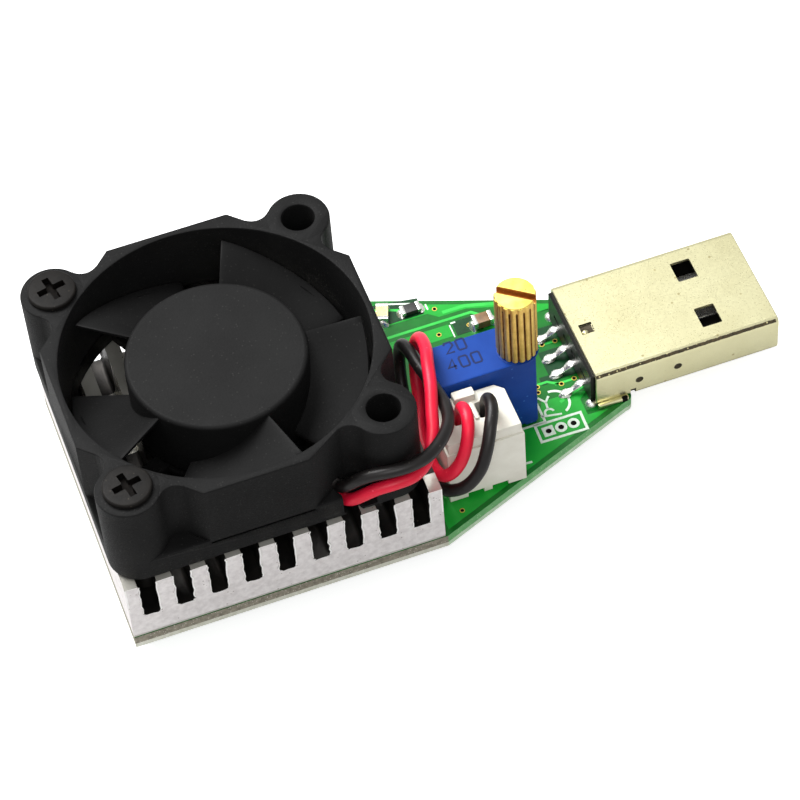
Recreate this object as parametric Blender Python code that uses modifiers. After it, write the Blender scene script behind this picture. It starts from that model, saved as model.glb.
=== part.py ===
"""Plug-in dc electronic load: tapered circuit board, USB plug, heatsink, 30 mm fan and trimmer.

Metres, +Z up. The layout is drawn about the fan's axis, with the underside of the circuit board at height 0.
At the end all of it moves so that the origin is the centre of the USB tongue's end face; +X points out of the
plug.
"""

import math

import bmesh
import bpy
from mathutils import Matrix, Vector

# Clearances
SEAT = 0.0001            # between two pieces that touch
BUSH_RUNNING = 0.00005   # shaft in its sleeve bearing, on the radius
AIR_GAP = 0.0003         # stator to magnet, on the radius
TIP_GAP = 0.0005         # blade tip to the frame's bore

# Circuit board
BOARD_THICKNESS = 0.0016
BOARD_WIDTH = 0.0302
BOARD_CENTRE_Y = -0.00033
BOARD_SQUARE_MARGIN = 0.00025
BOARD_TAPER_LENGTH = 0.021155
BOARD_NOSE_WIDTH = 0.0135
BOARD_NOSE_LENGTH = 0.0008
BOARD_CORNER = 0.0008
BOARD_TOP = BOARD_THICKNESS

# Heatsink, a block with straight grooves, and the layer that bonds it to the board
ADHESIVE_THICKNESS = 0.0001
FAN_SIZE = 0.0300
HEATSINK_OVERHANG = 0.0004
HEATSINK_LENGTH = FAN_SIZE + HEATSINK_OVERHANG
HEATSINK_SIDE_GAP = 0.0001
HEATSINK_WIDTH = BOARD_WIDTH - 2 * HEATSINK_SIDE_GAP
HEATSINK_HEIGHT = 0.0073
HEATSINK_BASE = 0.0026
HEATSINK_SETBACK = 0.00045
HEATSINK_OFFSET_Y = BOARD_CENTRE_Y - 0.00007
GROOVE_PITCH = 0.00327
GROOVE_WIDTH = 0.0017
END_FIN_LEAST = 0.0010
GROOVE_COUNT = int((HEATSINK_LENGTH - 2 * END_FIN_LEAST - GROOVE_WIDTH) / GROOVE_PITCH) + 1
HEATSINK_LEFT = HEATSINK_SETBACK - FAN_SIZE / 2
HEATSINK_RIGHT = HEATSINK_LEFT + HEATSINK_LENGTH
HEATSINK_BOTTOM = BOARD_TOP + ADHESIVE_THICKNESS + 2 * SEAT
HEATSINK_TOP = HEATSINK_BOTTOM + HEATSINK_HEIGHT
BOARD_LEFT = HEATSINK_LEFT
BOARD_TAPER_START = HEATSINK_RIGHT + BOARD_SQUARE_MARGIN
BOARD_END = BOARD_TAPER_START + BOARD_TAPER_LENGTH + BOARD_NOSE_LENGTH

# Fan frame
FAN_HEIGHT = 0.0100
FAN_HOLE_DIAMETER = 0.0031
FAN_EAR_DIAMETER = 0.0060
FAN_HOLE_PITCH = FAN_SIZE - FAN_EAR_DIAMETER
FAN_WALL = 0.00065
FAN_CORNER_WALL = 0.00043
FAN_BORE_DIAMETER = FAN_SIZE - 2 * FAN_WALL
FAN_CHAMFER = FAN_SIZE - math.sqrt(2) * (FAN_BORE_DIAMETER / 2 + FAN_CORNER_WALL)
FAN_LEAD_CHAMFER_EXTRA = 0.0019
FAN_FLANGE_HEIGHT = 0.0027
FAN_WEB_WIDTH = 0.0050
FAN_STRUT_WIDTH = 0.0018
FAN_STRUT_HEIGHT = 0.0012
FAN_CUP_DIAMETER = 0.0164
FAN_CUP_FLOOR = 0.0010
FAN_BOTTOM = HEATSINK_TOP + SEAT
FAN_TOP = FAN_BOTTOM + FAN_HEIGHT
BEARING_TUBE_WALL = 0.0004

# Impeller: hub, and blades that fall clockwise from their upper edges
HUB_DIAMETER = 0.0169
HUB_RECESS = 0.0007
HUB_WALL = 0.00085
HUB_SKIRT_BOTTOM = 0.0021
HUB_EDGE_RADIUS = 0.0004
BLADE_COUNT = 5
BLADE_LEAD_ANGLE = math.radians(-1.7)
BLADE_SWEEP = math.radians(54.0)
BLADE_TOP_DROP = 0.0010
BLADE_BOTTOM = 0.0038
BLADE_THICKNESS = 0.0007
BLADE_ROOT_DEPTH = 0.0004
BLADE_CAMBER = 0.10

# Motor
SHAFT_DIAMETER = 0.0015
BUSH_WALL = 0.0008
BUSH_LENGTH = 0.0051
YOKE_WALL = 0.0005
MAGNET_WALL = 0.0010
MAGNET_HEIGHT = 0.0046
STATOR_HEIGHT = 0.0026
STATOR_POLES = 4
STATOR_NECK = 0.0016
STATOR_SHOE = 0.0007
WINDING_THICKNESS = 0.0007
MOTOR_BOARD_THICKNESS = 0.0006
MOTOR_BOARD_DIAMETER = 0.0138
CLIP_THICKNESS = 0.0002
CLIP_DIAMETER = 0.0026

# Fan screws, in the two ears away from the plug
SCREW_DIAMETER = 0.0026
SCREW_LENGTH = 0.0142
SCREW_HEAD_DIAMETER = 0.0046
SCREW_HEAD_HEIGHT = 0.0010
SCREW_RECESS_DEPTH = 0.0007
SCREW_RECESS_WIDTH = 0.0005
SCREW_RECESS_LENGTH = 0.0023

# Fan lead: two insulated wires from the notch in the flange to the plug
WIRE_DIAMETER = 0.00125
LEAD_ANGLE = math.radians(-63.0)
LEAD_CHANNEL_WALL = 0.0005
LEAD_CHANNEL_ROOF = 0.0003

# Multi-turn trimmer with its knob
TRIMMER_LENGTH = 0.00953
TRIMMER_WIDTH = 0.00483
TRIMMER_HEIGHT = 0.0100
TRIMMER_FOOT = 0.0004
TRIMMER_FOOT_LENGTH = 0.0012
TRIMMER_HEATSINK_GAP = 0.00326
TRIMMER_X = HEATSINK_RIGHT + TRIMMER_HEATSINK_GAP + TRIMMER_LENGTH / 2
TRIMMER_Y = BOARD_CENTRE_Y - 0.00355
TRIMMER_PIN_PITCH = 0.00254
TRIMMER_PIN_DIAMETER = 0.0005
TRIMMER_SCREW_INSET = 0.00125
TRIMMER_SCREW_OFFSET_Y = -0.0007
TRIMMER_SCREW_DIAMETER = 0.0022
TRIMMER_SCREW_DEPTH = 0.0014
KNOB_DIAMETER = 0.00395
KNOB_HEIGHT = 0.0080
KNOB_FLUTES = 22
KNOB_FLUTE_DEPTH = 0.00025
KNOB_SLOT_WIDTH = 0.0006
KNOB_SLOT_DEPTH = 0.0009
KNOB_SLOT_TURN = -37.0
KNOB_BORE_DEPTH = 0.0024

# Fan header and the plug in it
HEADER_LENGTH = 0.0076
HEADER_WIDTH = 0.0056
HEADER_HEIGHT = 0.0073
HEADER_WALL = 0.0007
HEADER_FLOOR = 0.0010
HEADER_TRIMMER_GAP = 0.00015
HEADER_HEATSINK_GAP = 0.001755
HEADER_X = HEATSINK_RIGHT + HEADER_HEATSINK_GAP + HEADER_LENGTH / 2
HEADER_FOOT_GAP = 0.0017
HEADER_FOOT_HEIGHT = 0.0009
HEADER_KEYWAY_WIDTH = 0.0009
HEADER_KEYWAY_DEPTH = 0.0020
HEADER_KEYWAY_SPACING = 0.0030
CONTACT_PITCH = 0.0025
CONTACT_Y_OFFSET = 0.0003
CONTACT_WIDTH = 0.0015
CONTACT_HEIGHT = 0.0046
CONTACT_BORE = 0.0009
HEADER_PIN_WIDTH = 0.00064
HEADER_PIN_RISE = 0.0052
PIN_TAIL = 0.0012
BOARD_PIN_GAP = 0.00015
PLUG_CAVITY = 0.0018
PLUG_CAP_HEIGHT = 0.0012
PLUG_CAP_INSET = 0.0002
PLUG_RIB_WIDTH = 0.0021
PLUG_RIB_OFFSET_X = -0.0004
PLUG_RIB_DEPTH = 0.0006
PLUG_RIB_RISE = 0.0008

# USB plug
SHELL_LENGTH = 0.01875
SHELL_WIDTH = 0.0120
SHELL_HEIGHT = 0.0045
SHELL_WALL = 0.0003
SHELL_CORNER = 0.0006
SHELL_OVERLAP = 0.003655
SHELL_CENTRE_Y = BOARD_CENTRE_Y - 0.00035
WINDOW_LENGTH = 0.0020
WINDOW_WIDTH = 0.0024
WINDOW_SPACING = 0.0060
WINDOW_TIP_DISTANCE = 0.0051
SHELL_LEG_LENGTH = 0.0012
SHELL_LEG_DISTANCE = 0.0012
TONGUE_THICKNESS = 0.0019
TONGUE_SIDE_GAP = 0.00015
TONGUE_WIDTH = SHELL_WIDTH - 2 * SHELL_WALL - 2 * TONGUE_SIDE_GAP
TONGUE_TIP_RECESS = 0.0007
INSULATOR_BLOCK_LENGTH = 0.0026
INSULATOR_PROTRUSION = 0.0004
USB_CONTACT_WIDTH = 0.0010
USB_CONTACT_THICKNESS = 0.00025
USB_CONTACT_OFFSETS = (-0.0035, -0.0010, 0.0010, 0.0035)
USB_CONTACT_TAIL = 0.0021
USB_CONTACT_FOOT = 0.0009
SLOT_RADIUS = 0.00035
SLOT_CORNER = 0.00034

# Jumper row: three bare holes beside the header
JUMPER_PITCH = 0.00127
JUMPER_HOLE_DIAMETER = 0.0007
JUMPER_HEADER_GAP = 0.0052
JUMPER_X = HEADER_X + HEADER_LENGTH / 2 + JUMPER_HEADER_GAP
JUMPER_Y = BOARD_CENTRE_Y - 0.0073

# Small parts on the board: (x from the taper's start, y from the board's centre line),
# (length, width, height), turn about Z in degrees
TOP_CHIPS = {
    "power_led": ((0.0030, 0.0118), (0.0020, 0.00125, 0.0008), 70.0),
    "led_resistor": ((0.0058, 0.0114), (0.0020, 0.00110, 0.0005), 0.0),
    "supply_capacitor": ((0.0118, 0.0073), (0.0020, 0.00125, 0.0009), 0.0),
}
UNDER_CHIPS = {
    "shunt_resistor": ((-0.0100, -0.0085), (0.0063, 0.0032, 0.0006), 0.0),
    "gate_resistor": ((0.0005, 0.0067), (0.0020, 0.00125, 0.0005), 90.0),
    "divider_resistor": ((0.0130, 0.0002), (0.0020, 0.00125, 0.0005), 90.0),
    "filter_capacitor": ((0.0065, 0.0103), (0.0020, 0.00125, 0.0009), 0.0),
}
TRANSISTOR_CENTRE = (-0.0100, 0.0052)
TRANSISTOR_BODY = (0.0061, 0.0066, 0.0023)
AMPLIFIER_CENTRE = (0.0065, 0.0050)
AMPLIFIER_BODY = (0.0049, 0.0039, 0.0015)
REFERENCE_CENTRE = (0.0132, 0.0047)
REFERENCE_BODY = (0.0029, 0.0013, 0.0010)
LEAD_FOOT_THICKNESS = 0.0002

# Route of each wire, from inside the channel under the fan to the contact in the plug. The points are chosen
# by hand: round the front ear, back beside the fan, down in a loop, forward beside the heatsink, up and into
# the plug.
RED_ROUTE = (
    (0.00203, -0.00547, 0.01003), (0.00348, -0.00833, 0.01003), (0.00439, -0.01011, 0.01003),
    (0.00583, -0.01162, 0.01003), (0.00638, -0.01252, 0.01003), (0.00680, -0.01334, 0.01007),
    (0.00722, -0.01410, 0.01038), (0.00780, -0.01475, 0.01105), (0.00860, -0.01522, 0.01185),
    (0.00975, -0.01552, 0.01248), (0.01150, -0.01575, 0.01278), (0.01330, -0.01556, 0.01277),
    (0.01501, -0.01441, 0.01290), (0.01627, -0.01234, 0.01333), (0.01702, -0.01013, 0.01400),
    (0.01777, -0.00781, 0.01468), (0.01833, -0.00549, 0.01475), (0.01889, -0.00335, 0.01427),
    (0.01909, -0.00123, 0.01315), (0.01895, -0.00001, 0.01127), (0.01867, -0.00026, 0.00925),
    (0.01826, -0.00160, 0.00763), (0.01781, -0.00368, 0.00650), (0.01707, -0.00566, 0.00588),
    (0.01667, -0.00754, 0.00565), (0.01665, -0.00942, 0.00568), (0.01672, -0.01110, 0.00605),
    (0.01702, -0.01249, 0.00688), (0.01769, -0.01327, 0.00815), (0.01855, -0.01340, 0.00973),
    (0.01930, -0.01283, 0.01120), (0.01982, -0.01193, 0.01225), (0.02010, -0.01088, 0.01262),
    (0.02015, -0.01001, 0.01245), (0.02015, -0.00933, 0.01190), (0.02015, -0.00895, 0.01105),
    (0.02015, -0.00888, 0.01000), (0.02015, -0.00888, 0.00790),
)
BLACK_ROUTE = (
    (0.00323, -0.00486, 0.01003), (0.00405, -0.00646, 0.01003), (0.00470, -0.00772, 0.01012),
    (0.00520, -0.00880, 0.01045), (0.00562, -0.00995, 0.01105), (0.00592, -0.01140, 0.01137),
    (0.00640, -0.01255, 0.01140), (0.00675, -0.01325, 0.01165), (0.00710, -0.01390, 0.01225),
    (0.00760, -0.01442, 0.01305), (0.00840, -0.01482, 0.01380), (0.00960, -0.01520, 0.01435),
    (0.01120, -0.01562, 0.01460), (0.01300, -0.01570, 0.01465), (0.01490, -0.01518, 0.01458),
    (0.01661, -0.01387, 0.01440), (0.01796, -0.01195, 0.01403), (0.01847, -0.00973, 0.01351),
    (0.01842, -0.00752, 0.01304), (0.01818, -0.00550, 0.01281), (0.01793, -0.00368, 0.01269),
    (0.01779, -0.00192, 0.01242), (0.01764, -0.00025, 0.01170), (0.01755, 0.00067, 0.01017),
    (0.01735, 0.00059, 0.00825), (0.01705, -0.00060, 0.00663), (0.01678, -0.00258, 0.00540),
    (0.01668, -0.00506, 0.00453), (0.01667, -0.00775, 0.00411), (0.01669, -0.01003, 0.00414),
    (0.01676, -0.01196, 0.00466), (0.01726, -0.01348, 0.00569), (0.01854, -0.01453, 0.00717),
    (0.01989, -0.01461, 0.00905), (0.02085, -0.01395, 0.01092), (0.02165, -0.01278, 0.01225),
    (0.02230, -0.01153, 0.01275), (0.02260, -0.01053, 0.01277), (0.02265, -0.00968, 0.01240),
    (0.02265, -0.00913, 0.01165), (0.02265, -0.00890, 0.01080), (0.02265, -0.00888, 0.00980),
    (0.02265, -0.00888, 0.00790),
)
ROUTE_STEPS = 2


def clear_scene():
    for obj in list(bpy.data.objects):
        bpy.data.objects.remove(obj, do_unlink=True)


def collection(name):
    group = bpy.data.collections.new(name)
    bpy.context.scene.collection.children.link(group)
    return group


clear_scene()
PARTS = collection("dc_electronic_load")
GUIDES = collection("cutters")


def material(name, colour, roughness, metallic=0.0):
    """Principled material with a plain colour."""
    mat = bpy.data.materials.new(name)
    mat.use_nodes = True
    shader = mat.node_tree.nodes["Principled BSDF"]
    shader.inputs["Base Color"].default_value = (*colour, 1.0)
    shader.inputs["Roughness"].default_value = roughness
    shader.inputs["Metallic"].default_value = metallic
    mat.diffuse_color = (*colour, 1.0)
    return mat


BOARD_GREEN = material("board_green", (0.02, 0.30, 0.08), 0.35)
ALUMINIUM = material("aluminium", (0.80, 0.79, 0.78), 0.45, 1.0)
FAN_BLACK = material("fan_black", (0.022, 0.022, 0.022), 0.65)
STEEL = material("steel", (0.60, 0.60, 0.60), 0.35, 1.0)
SCREW_BLACK = material("screw_black", (0.03, 0.03, 0.03), 0.4, 0.6)
MAGNET_GREY = material("magnet_grey", (0.08, 0.08, 0.08), 0.7)
COPPER = material("copper", (0.72, 0.33, 0.14), 0.35, 1.0)
BRASS = material("brass", (0.83, 0.60, 0.18), 0.30, 1.0)
BRONZE = material("bronze", (0.45, 0.30, 0.15), 0.50, 1.0)
TRIMMER_BLUE = material("trimmer_blue", (0.03, 0.10, 0.52), 0.40)
CONNECTOR_WHITE = material("connector_white", (0.82, 0.79, 0.72), 0.45)
WIRE_RED = material("wire_red", (0.75, 0.02, 0.06), 0.45)
WIRE_BLACK = material("wire_black", (0.02, 0.02, 0.02), 0.45)
PLATED_STEEL = material("plated_steel", (0.80, 0.77, 0.65), 0.30, 1.0)
TIN = material("tin", (0.75, 0.75, 0.73), 0.30, 1.0)
PLASTIC_BLACK = material("plastic_black", (0.015, 0.015, 0.015), 0.5)
CHIP_BLACK = material("chip_black", (0.02, 0.02, 0.02), 0.5)
CHIP_BROWN = material("chip_brown", (0.30, 0.20, 0.12), 0.5)
LED_CREAM = material("led_cream", (0.90, 0.82, 0.45), 0.3)
ADHESIVE_GREY = material("adhesive_grey", (0.45, 0.45, 0.42), 0.8)


def add_object(name, mesh, mat=None):
    """A part in the parts' collection, or a hidden guide when it has no material."""
    obj = bpy.data.objects.new(name, mesh)
    if mat is None:
        GUIDES.objects.link(obj)
        obj.hide_render = True
        obj.display_type = "WIRE"
    else:
        PARTS.objects.link(obj)
        mesh.materials.append(mat)
    return obj


def finish_bmesh(bm, name):
    mesh = bpy.data.meshes.new(name)
    bm.to_mesh(mesh)
    bm.free()
    return mesh


def bevel(obj, width, segments=2):
    mod = obj.modifiers.new("edge", "BEVEL")
    mod.width = width
    mod.segments = segments
    mod.limit_method = "ANGLE"
    return mod


def box(name, low, high, mat=None, rounded=0.0):
    """Box between two opposite corners."""
    bm = bmesh.new()
    bmesh.ops.create_cube(bm, size=1.0)
    bmesh.ops.scale(bm, vec=Vector(high) - Vector(low), verts=bm.verts)
    obj = add_object(name, finish_bmesh(bm, name), mat)
    obj.location = (Vector(low) + Vector(high)) / 2
    if rounded:
        bevel(obj, rounded)
    return obj


def radial_bar(name, angle, inner, outer, width, bottom, top, mat=None):
    """Box that lies along a radius of the fan, between two distances from its axis."""
    bar = box(name, (inner, -width / 2, bottom), (outer, width / 2, top), mat)
    bar.matrix_world = Matrix.Rotation(angle, 4, "Z") @ Matrix.Translation(bar.location)
    return bar


def cylinder(name, centre, radius, bottom, top, segments=24, mat=None):
    bm = bmesh.new()
    bmesh.ops.create_cone(bm, cap_ends=True, segments=segments, radius1=radius, radius2=radius,
                          depth=top - bottom)
    obj = add_object(name, finish_bmesh(bm, name), mat)
    obj.location = (centre[0], centre[1], (bottom + top) / 2)
    obj.data.shade_smooth()
    obj.data.set_sharp_from_angle(angle=math.radians(40))
    return obj


def turned(name, profile, segments, mat=None, centre=(0.0, 0.0), closed=False):
    """Profile of (radius, height) points turned about Z; it runs down its outer side."""
    mesh = bpy.data.meshes.new(name)
    edges = [(i, i + 1) for i in range(len(profile) - 1)]
    if closed:
        edges.append((len(profile) - 1, 0))
    mesh.from_pydata([(radius, 0.0, height) for radius, height in profile], edges, [])
    obj = add_object(name, mesh, mat)
    obj.location = (centre[0], centre[1], 0.0)
    screw = obj.modifiers.new("turn", "SCREW")
    screw.axis = "Z"
    screw.steps = segments
    screw.render_steps = segments
    screw.use_merge_vertices = True
    screw.merge_threshold = 0.000001
    screw.use_smooth_shade = True
    return obj


def ring(name, inner, outer, bottom, top, segments, mat, centre=(0.0, 0.0)):
    """Plain ring or tube, turned."""
    profile = [(outer, top), (outer, bottom), (inner, bottom), (inner, top)]
    return turned(name, profile, segments, mat, centre, closed=True)


def outline_solid(name, outlines, bottom, top, mat=None, turn=None):
    """Flat outlines, the first the outer one and the others holes, given a thickness along Z."""
    curve = bpy.data.curves.new(name, "CURVE")
    curve.dimensions = "2D"
    curve.fill_mode = "BOTH"
    curve.extrude = (top - bottom) / 2
    for outline in outlines:
        spline = curve.splines.new("POLY")
        spline.points.add(len(outline) - 1)
        for point, (x, y) in zip(spline.points, outline):
            point.co = (x, y, 0.0, 1.0)
        spline.use_cyclic_u = True
    source = bpy.data.objects.new(name, curve)
    GUIDES.objects.link(source)
    source.location = (0.0, 0.0, (bottom + top) / 2)
    if turn is not None:
        source.matrix_world = turn @ Matrix.Translation(source.location)
    bpy.context.view_layer.update()
    evaluated = source.evaluated_get(bpy.context.evaluated_depsgraph_get())
    mesh = bpy.data.meshes.new_from_object(evaluated)
    place = source.matrix_world.copy()
    bpy.data.objects.remove(source, do_unlink=True)
    bm = bmesh.new()
    bm.from_mesh(mesh)
    bmesh.ops.remove_doubles(bm, verts=bm.verts, dist=0.000001)
    bmesh.ops.recalc_face_normals(bm, faces=bm.faces)
    bm.to_mesh(mesh)
    bm.free()
    mesh.name = name
    obj = add_object(name, mesh, mat)
    obj.matrix_world = place
    return obj


def boolean(obj, operand, operation):
    mod = obj.modifiers.new(operand.name, "BOOLEAN")
    mod.operation = operation
    mod.solver = "EXACT"
    mod.object = operand


def cut(obj, *cutters):
    for cutter in cutters:
        boolean(obj, cutter, "DIFFERENCE")


def join(obj, *pieces):
    for piece in pieces:
        boolean(obj, piece, "UNION")


def arc(centre, radius, start, end, count):
    """Points on an arc, both ends included; angles in degrees."""
    angles = [math.radians(start + (end - start) * i / count) for i in range(count + 1)]
    return [(centre[0] + radius * math.cos(a), centre[1] + radius * math.sin(a)) for a in angles]


def rounded_rectangle(centre, length, width, radius, count=4):
    """Outline of a rectangle with round corners, counter-clockwise."""
    x, y = length / 2 - radius, width / 2 - radius
    points = []
    for i, (sx, sy) in enumerate(((1, 1), (-1, 1), (-1, -1), (1, -1))):
        corner = (centre[0] + sx * x, centre[1] + sy * y)
        points += arc(corner, radius, 90.0 * i, 90.0 * (i + 1), count)
    return points


def smooth_route(points, steps):
    """Catmull-Rom curve through hand-chosen points."""
    pts = [Vector(p) for p in points]
    pts = [2 * pts[0] - pts[1]] + pts + [2 * pts[-1] - pts[-2]]
    route = []
    for i in range(1, len(pts) - 2):
        a, b, c, d = pts[i - 1:i + 3]
        for k in range(steps):
            t = k / steps
            route.append(0.5 * (2 * b + (c - a) * t + (2 * a - 5 * b + 4 * c - d) * t * t
                                + (3 * b - a - 3 * c + d) * t ** 3))
    route.append(pts[-2])
    return route


def wire(name, points, diameter, mat):
    """Insulated wire: a round tube along a smooth route."""
    route = smooth_route(points, ROUTE_STEPS)
    curve = bpy.data.curves.new(name, "CURVE")
    curve.dimensions = "3D"
    curve.bevel_depth = diameter / 2
    curve.bevel_resolution = 2
    curve.use_fill_caps = True
    spline = curve.splines.new("POLY")
    spline.points.add(len(route) - 1)
    for point, co in zip(spline.points, route):
        point.co = (*co, 1.0)
    curve.materials.append(mat)
    obj = bpy.data.objects.new(name, curve)
    PARTS.objects.link(obj)
    return obj


# Circuit board

TRIMMER_LEFT = TRIMMER_X - TRIMMER_LENGTH / 2
TRIMMER_FRONT = TRIMMER_Y - TRIMMER_WIDTH / 2
TRIMMER_TOP = BOARD_TOP + TRIMMER_HEIGHT
HEADER_Y = TRIMMER_FRONT - HEADER_TRIMMER_GAP - HEADER_WIDTH / 2
CONTACT_Y = HEADER_Y + CONTACT_Y_OFFSET
CONTACT_XS = (HEADER_X - CONTACT_PITCH / 2, HEADER_X + CONTACT_PITCH / 2)
SHELL_REAR = BOARD_END - SHELL_OVERLAP
SHELL_TIP = SHELL_REAR + SHELL_LENGTH
SHELL_BOTTOM = BOARD_TOP + SEAT
SHELL_TOP = SHELL_BOTTOM + SHELL_HEIGHT
LEG_CENTRE_X = SHELL_REAR + SHELL_LEG_DISTANCE + SHELL_LEG_LENGTH / 2
LEG_OFFSET_Y = SHELL_WIDTH / 2 - SHELL_WALL / 2
TRIMMER_PIN_XS = tuple(TRIMMER_X + k * TRIMMER_PIN_PITCH for k in (-1, 0, 1))
JUMPER_XS = tuple(JUMPER_X + k * JUMPER_PITCH for k in (-1, 0, 1))


def board_outline():
    """Square part, straight tapers and a nose whose two corners are round."""
    half = BOARD_WIDTH / 2
    nose = BOARD_NOSE_WIDTH / 2
    x_nose = BOARD_TAPER_START + BOARD_TAPER_LENGTH
    back = [(BOARD_LEFT, BOARD_CENTRE_Y + half), (BOARD_TAPER_START, BOARD_CENTRE_Y + half)]
    back += [(x_nose, BOARD_CENTRE_Y + nose)]
    back += reversed(arc((BOARD_END - BOARD_CORNER, BOARD_CENTRE_Y + nose - BOARD_CORNER),
                         BOARD_CORNER, 0.0, 60.0, 3))
    front = [(x, 2 * BOARD_CENTRE_Y - y) for x, y in reversed(back)]
    return list(reversed(back + front))


def circle(centre, radius, count):
    return [(centre[0] + radius * math.cos(2 * math.pi * i / count),
             centre[1] + radius * math.sin(2 * math.pi * i / count)) for i in range(count)]


def build_board():
    """Board with a hole for each pin, the jumper row's holes and two slots for the shell's legs."""
    holes = []
    pin_radius = TRIMMER_PIN_DIAMETER / 2 + BOARD_PIN_GAP
    holes += [circle((x, TRIMMER_Y), pin_radius, 12) for x in TRIMMER_PIN_XS]
    post_radius = HEADER_PIN_WIDTH / math.sqrt(2) + BOARD_PIN_GAP
    holes += [circle((x, CONTACT_Y), post_radius, 12) for x in CONTACT_XS]
    holes += [circle((x, JUMPER_Y), JUMPER_HOLE_DIAMETER / 2, 12) for x in JUMPER_XS]
    slot_length = SHELL_LEG_LENGTH + 2 * SLOT_RADIUS + 2 * BOARD_PIN_GAP
    for side in (-1, 1):
        centre = (LEG_CENTRE_X, SHELL_CENTRE_Y + side * LEG_OFFSET_Y)
        holes.append(rounded_rectangle(centre, slot_length, 2 * SLOT_RADIUS, SLOT_CORNER, 3))
    outline_solid("circuit_board", [board_outline()] + holes, 0.0, BOARD_TOP, BOARD_GREEN)


# Heatsink

SCREW_CENTRES = {
    "back": (-FAN_HOLE_PITCH / 2, FAN_HOLE_PITCH / 2),
    "front": (-FAN_HOLE_PITCH / 2, -FAN_HOLE_PITCH / 2),
}
SCREW_TIP = FAN_TOP + SEAT - SCREW_LENGTH


def heatsink_profile():
    """Comb of fins in the X-Z plane: up each fin's left side and down its right side."""
    left = -HEATSINK_LENGTH / 2
    points = [(left, 0.0)]
    x = left
    for k in range(GROOVE_COUNT):
        centre = (k - (GROOVE_COUNT - 1) / 2) * GROOVE_PITCH
        points += [(x, HEATSINK_HEIGHT), (centre - GROOVE_WIDTH / 2, HEATSINK_HEIGHT),
                   (centre - GROOVE_WIDTH / 2, HEATSINK_BASE)]
        x = centre + GROOVE_WIDTH / 2
        points.append((x, HEATSINK_BASE))
    points += [(x, HEATSINK_HEIGHT), (-left, HEATSINK_HEIGHT), (-left, 0.0)]
    return points


def build_heatsink():
    """Grooved block; the two screws cut their own seats in the fins beside a groove."""
    upright = (Matrix.Translation((HEATSINK_LEFT + HEATSINK_LENGTH / 2, HEATSINK_OFFSET_Y, HEATSINK_BOTTOM))
               @ Matrix.Rotation(math.radians(90), 4, "X"))
    sink = outline_solid("heatsink", [heatsink_profile()], -HEATSINK_WIDTH / 2, HEATSINK_WIDTH / 2,
                         ALUMINIUM, upright)
    for side, centre in SCREW_CENTRES.items():
        seat = cylinder("screw_seat_" + side, centre, SCREW_DIAMETER / 2 + SEAT, SCREW_TIP - SEAT,
                        HEATSINK_TOP + SEAT, 20)
        cut(sink, seat)
    low = (HEATSINK_LEFT, HEATSINK_OFFSET_Y - HEATSINK_WIDTH / 2, BOARD_TOP + SEAT)
    high = (HEATSINK_RIGHT, HEATSINK_OFFSET_Y + HEATSINK_WIDTH / 2,
            BOARD_TOP + SEAT + ADHESIVE_THICKNESS)
    box("thermal_adhesive", low, high, ADHESIVE_GREY)


# Fan frame

TUBE_INNER = SHAFT_DIAMETER / 2 + BUSH_RUNNING + BUSH_WALL + SEAT
TUBE_OUTER = TUBE_INNER + BEARING_TUBE_WALL
BUSH_BOTTOM = FAN_BOTTOM + 0.0013
BUSH_TOP = BUSH_BOTTOM + BUSH_LENGTH
TUBE_TOP = BUSH_TOP + SEAT
BOARD_SEAT_TOP = FAN_BOTTOM + FAN_CUP_FLOOR + 0.0004
BOARD_SEAT_RADIUS = TUBE_OUTER + 0.0009
NOTCH_WIDTH = WIRE_DIAMETER + 2 * SEAT
CHANNEL_WIDTH = 2 * WIRE_DIAMETER + 3 * SEAT
CHANNEL_LOW = WIRE_DIAMETER + 0.00025
CHANNEL_HIGH = 2 * WIRE_DIAMETER + 3 * SEAT
CHANNEL_INNER = 0.0046
CHANNEL_STEP = HUB_DIAMETER / 2 + 0.0004
CHANNEL_OUTER = FAN_BORE_DIAMETER / 2 - 0.00105
TROUGH_WIDTH = CHANNEL_WIDTH + 2 * LEAD_CHANNEL_WALL
NOTCH_TOP = 0.0036
LEAD_RELIEF_X = (FAN_SIZE / 2 - 0.0084, FAN_SIZE / 2 - 0.0052)
LEAD_RELIEF_FLOOR = 0.0004
LEAD_RELIEF_DEPTH = 0.0019


def octagon():
    """Body outline; the corner that the lead leaves at is cut further back along the front."""
    half = FAN_SIZE / 2
    plain = half - FAN_CHAMFER
    lead = plain - FAN_LEAD_CHAMFER_EXTRA
    return [(half, -plain), (half, plain), (plain, half), (-plain, half),
            (-half, plain), (-half, -plain), (-plain, -half), (lead, -half)]


def ear_centres():
    d = FAN_HOLE_PITCH / 2
    return ((d, d), (-d, d), (-d, -d), (d, -d))


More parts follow.
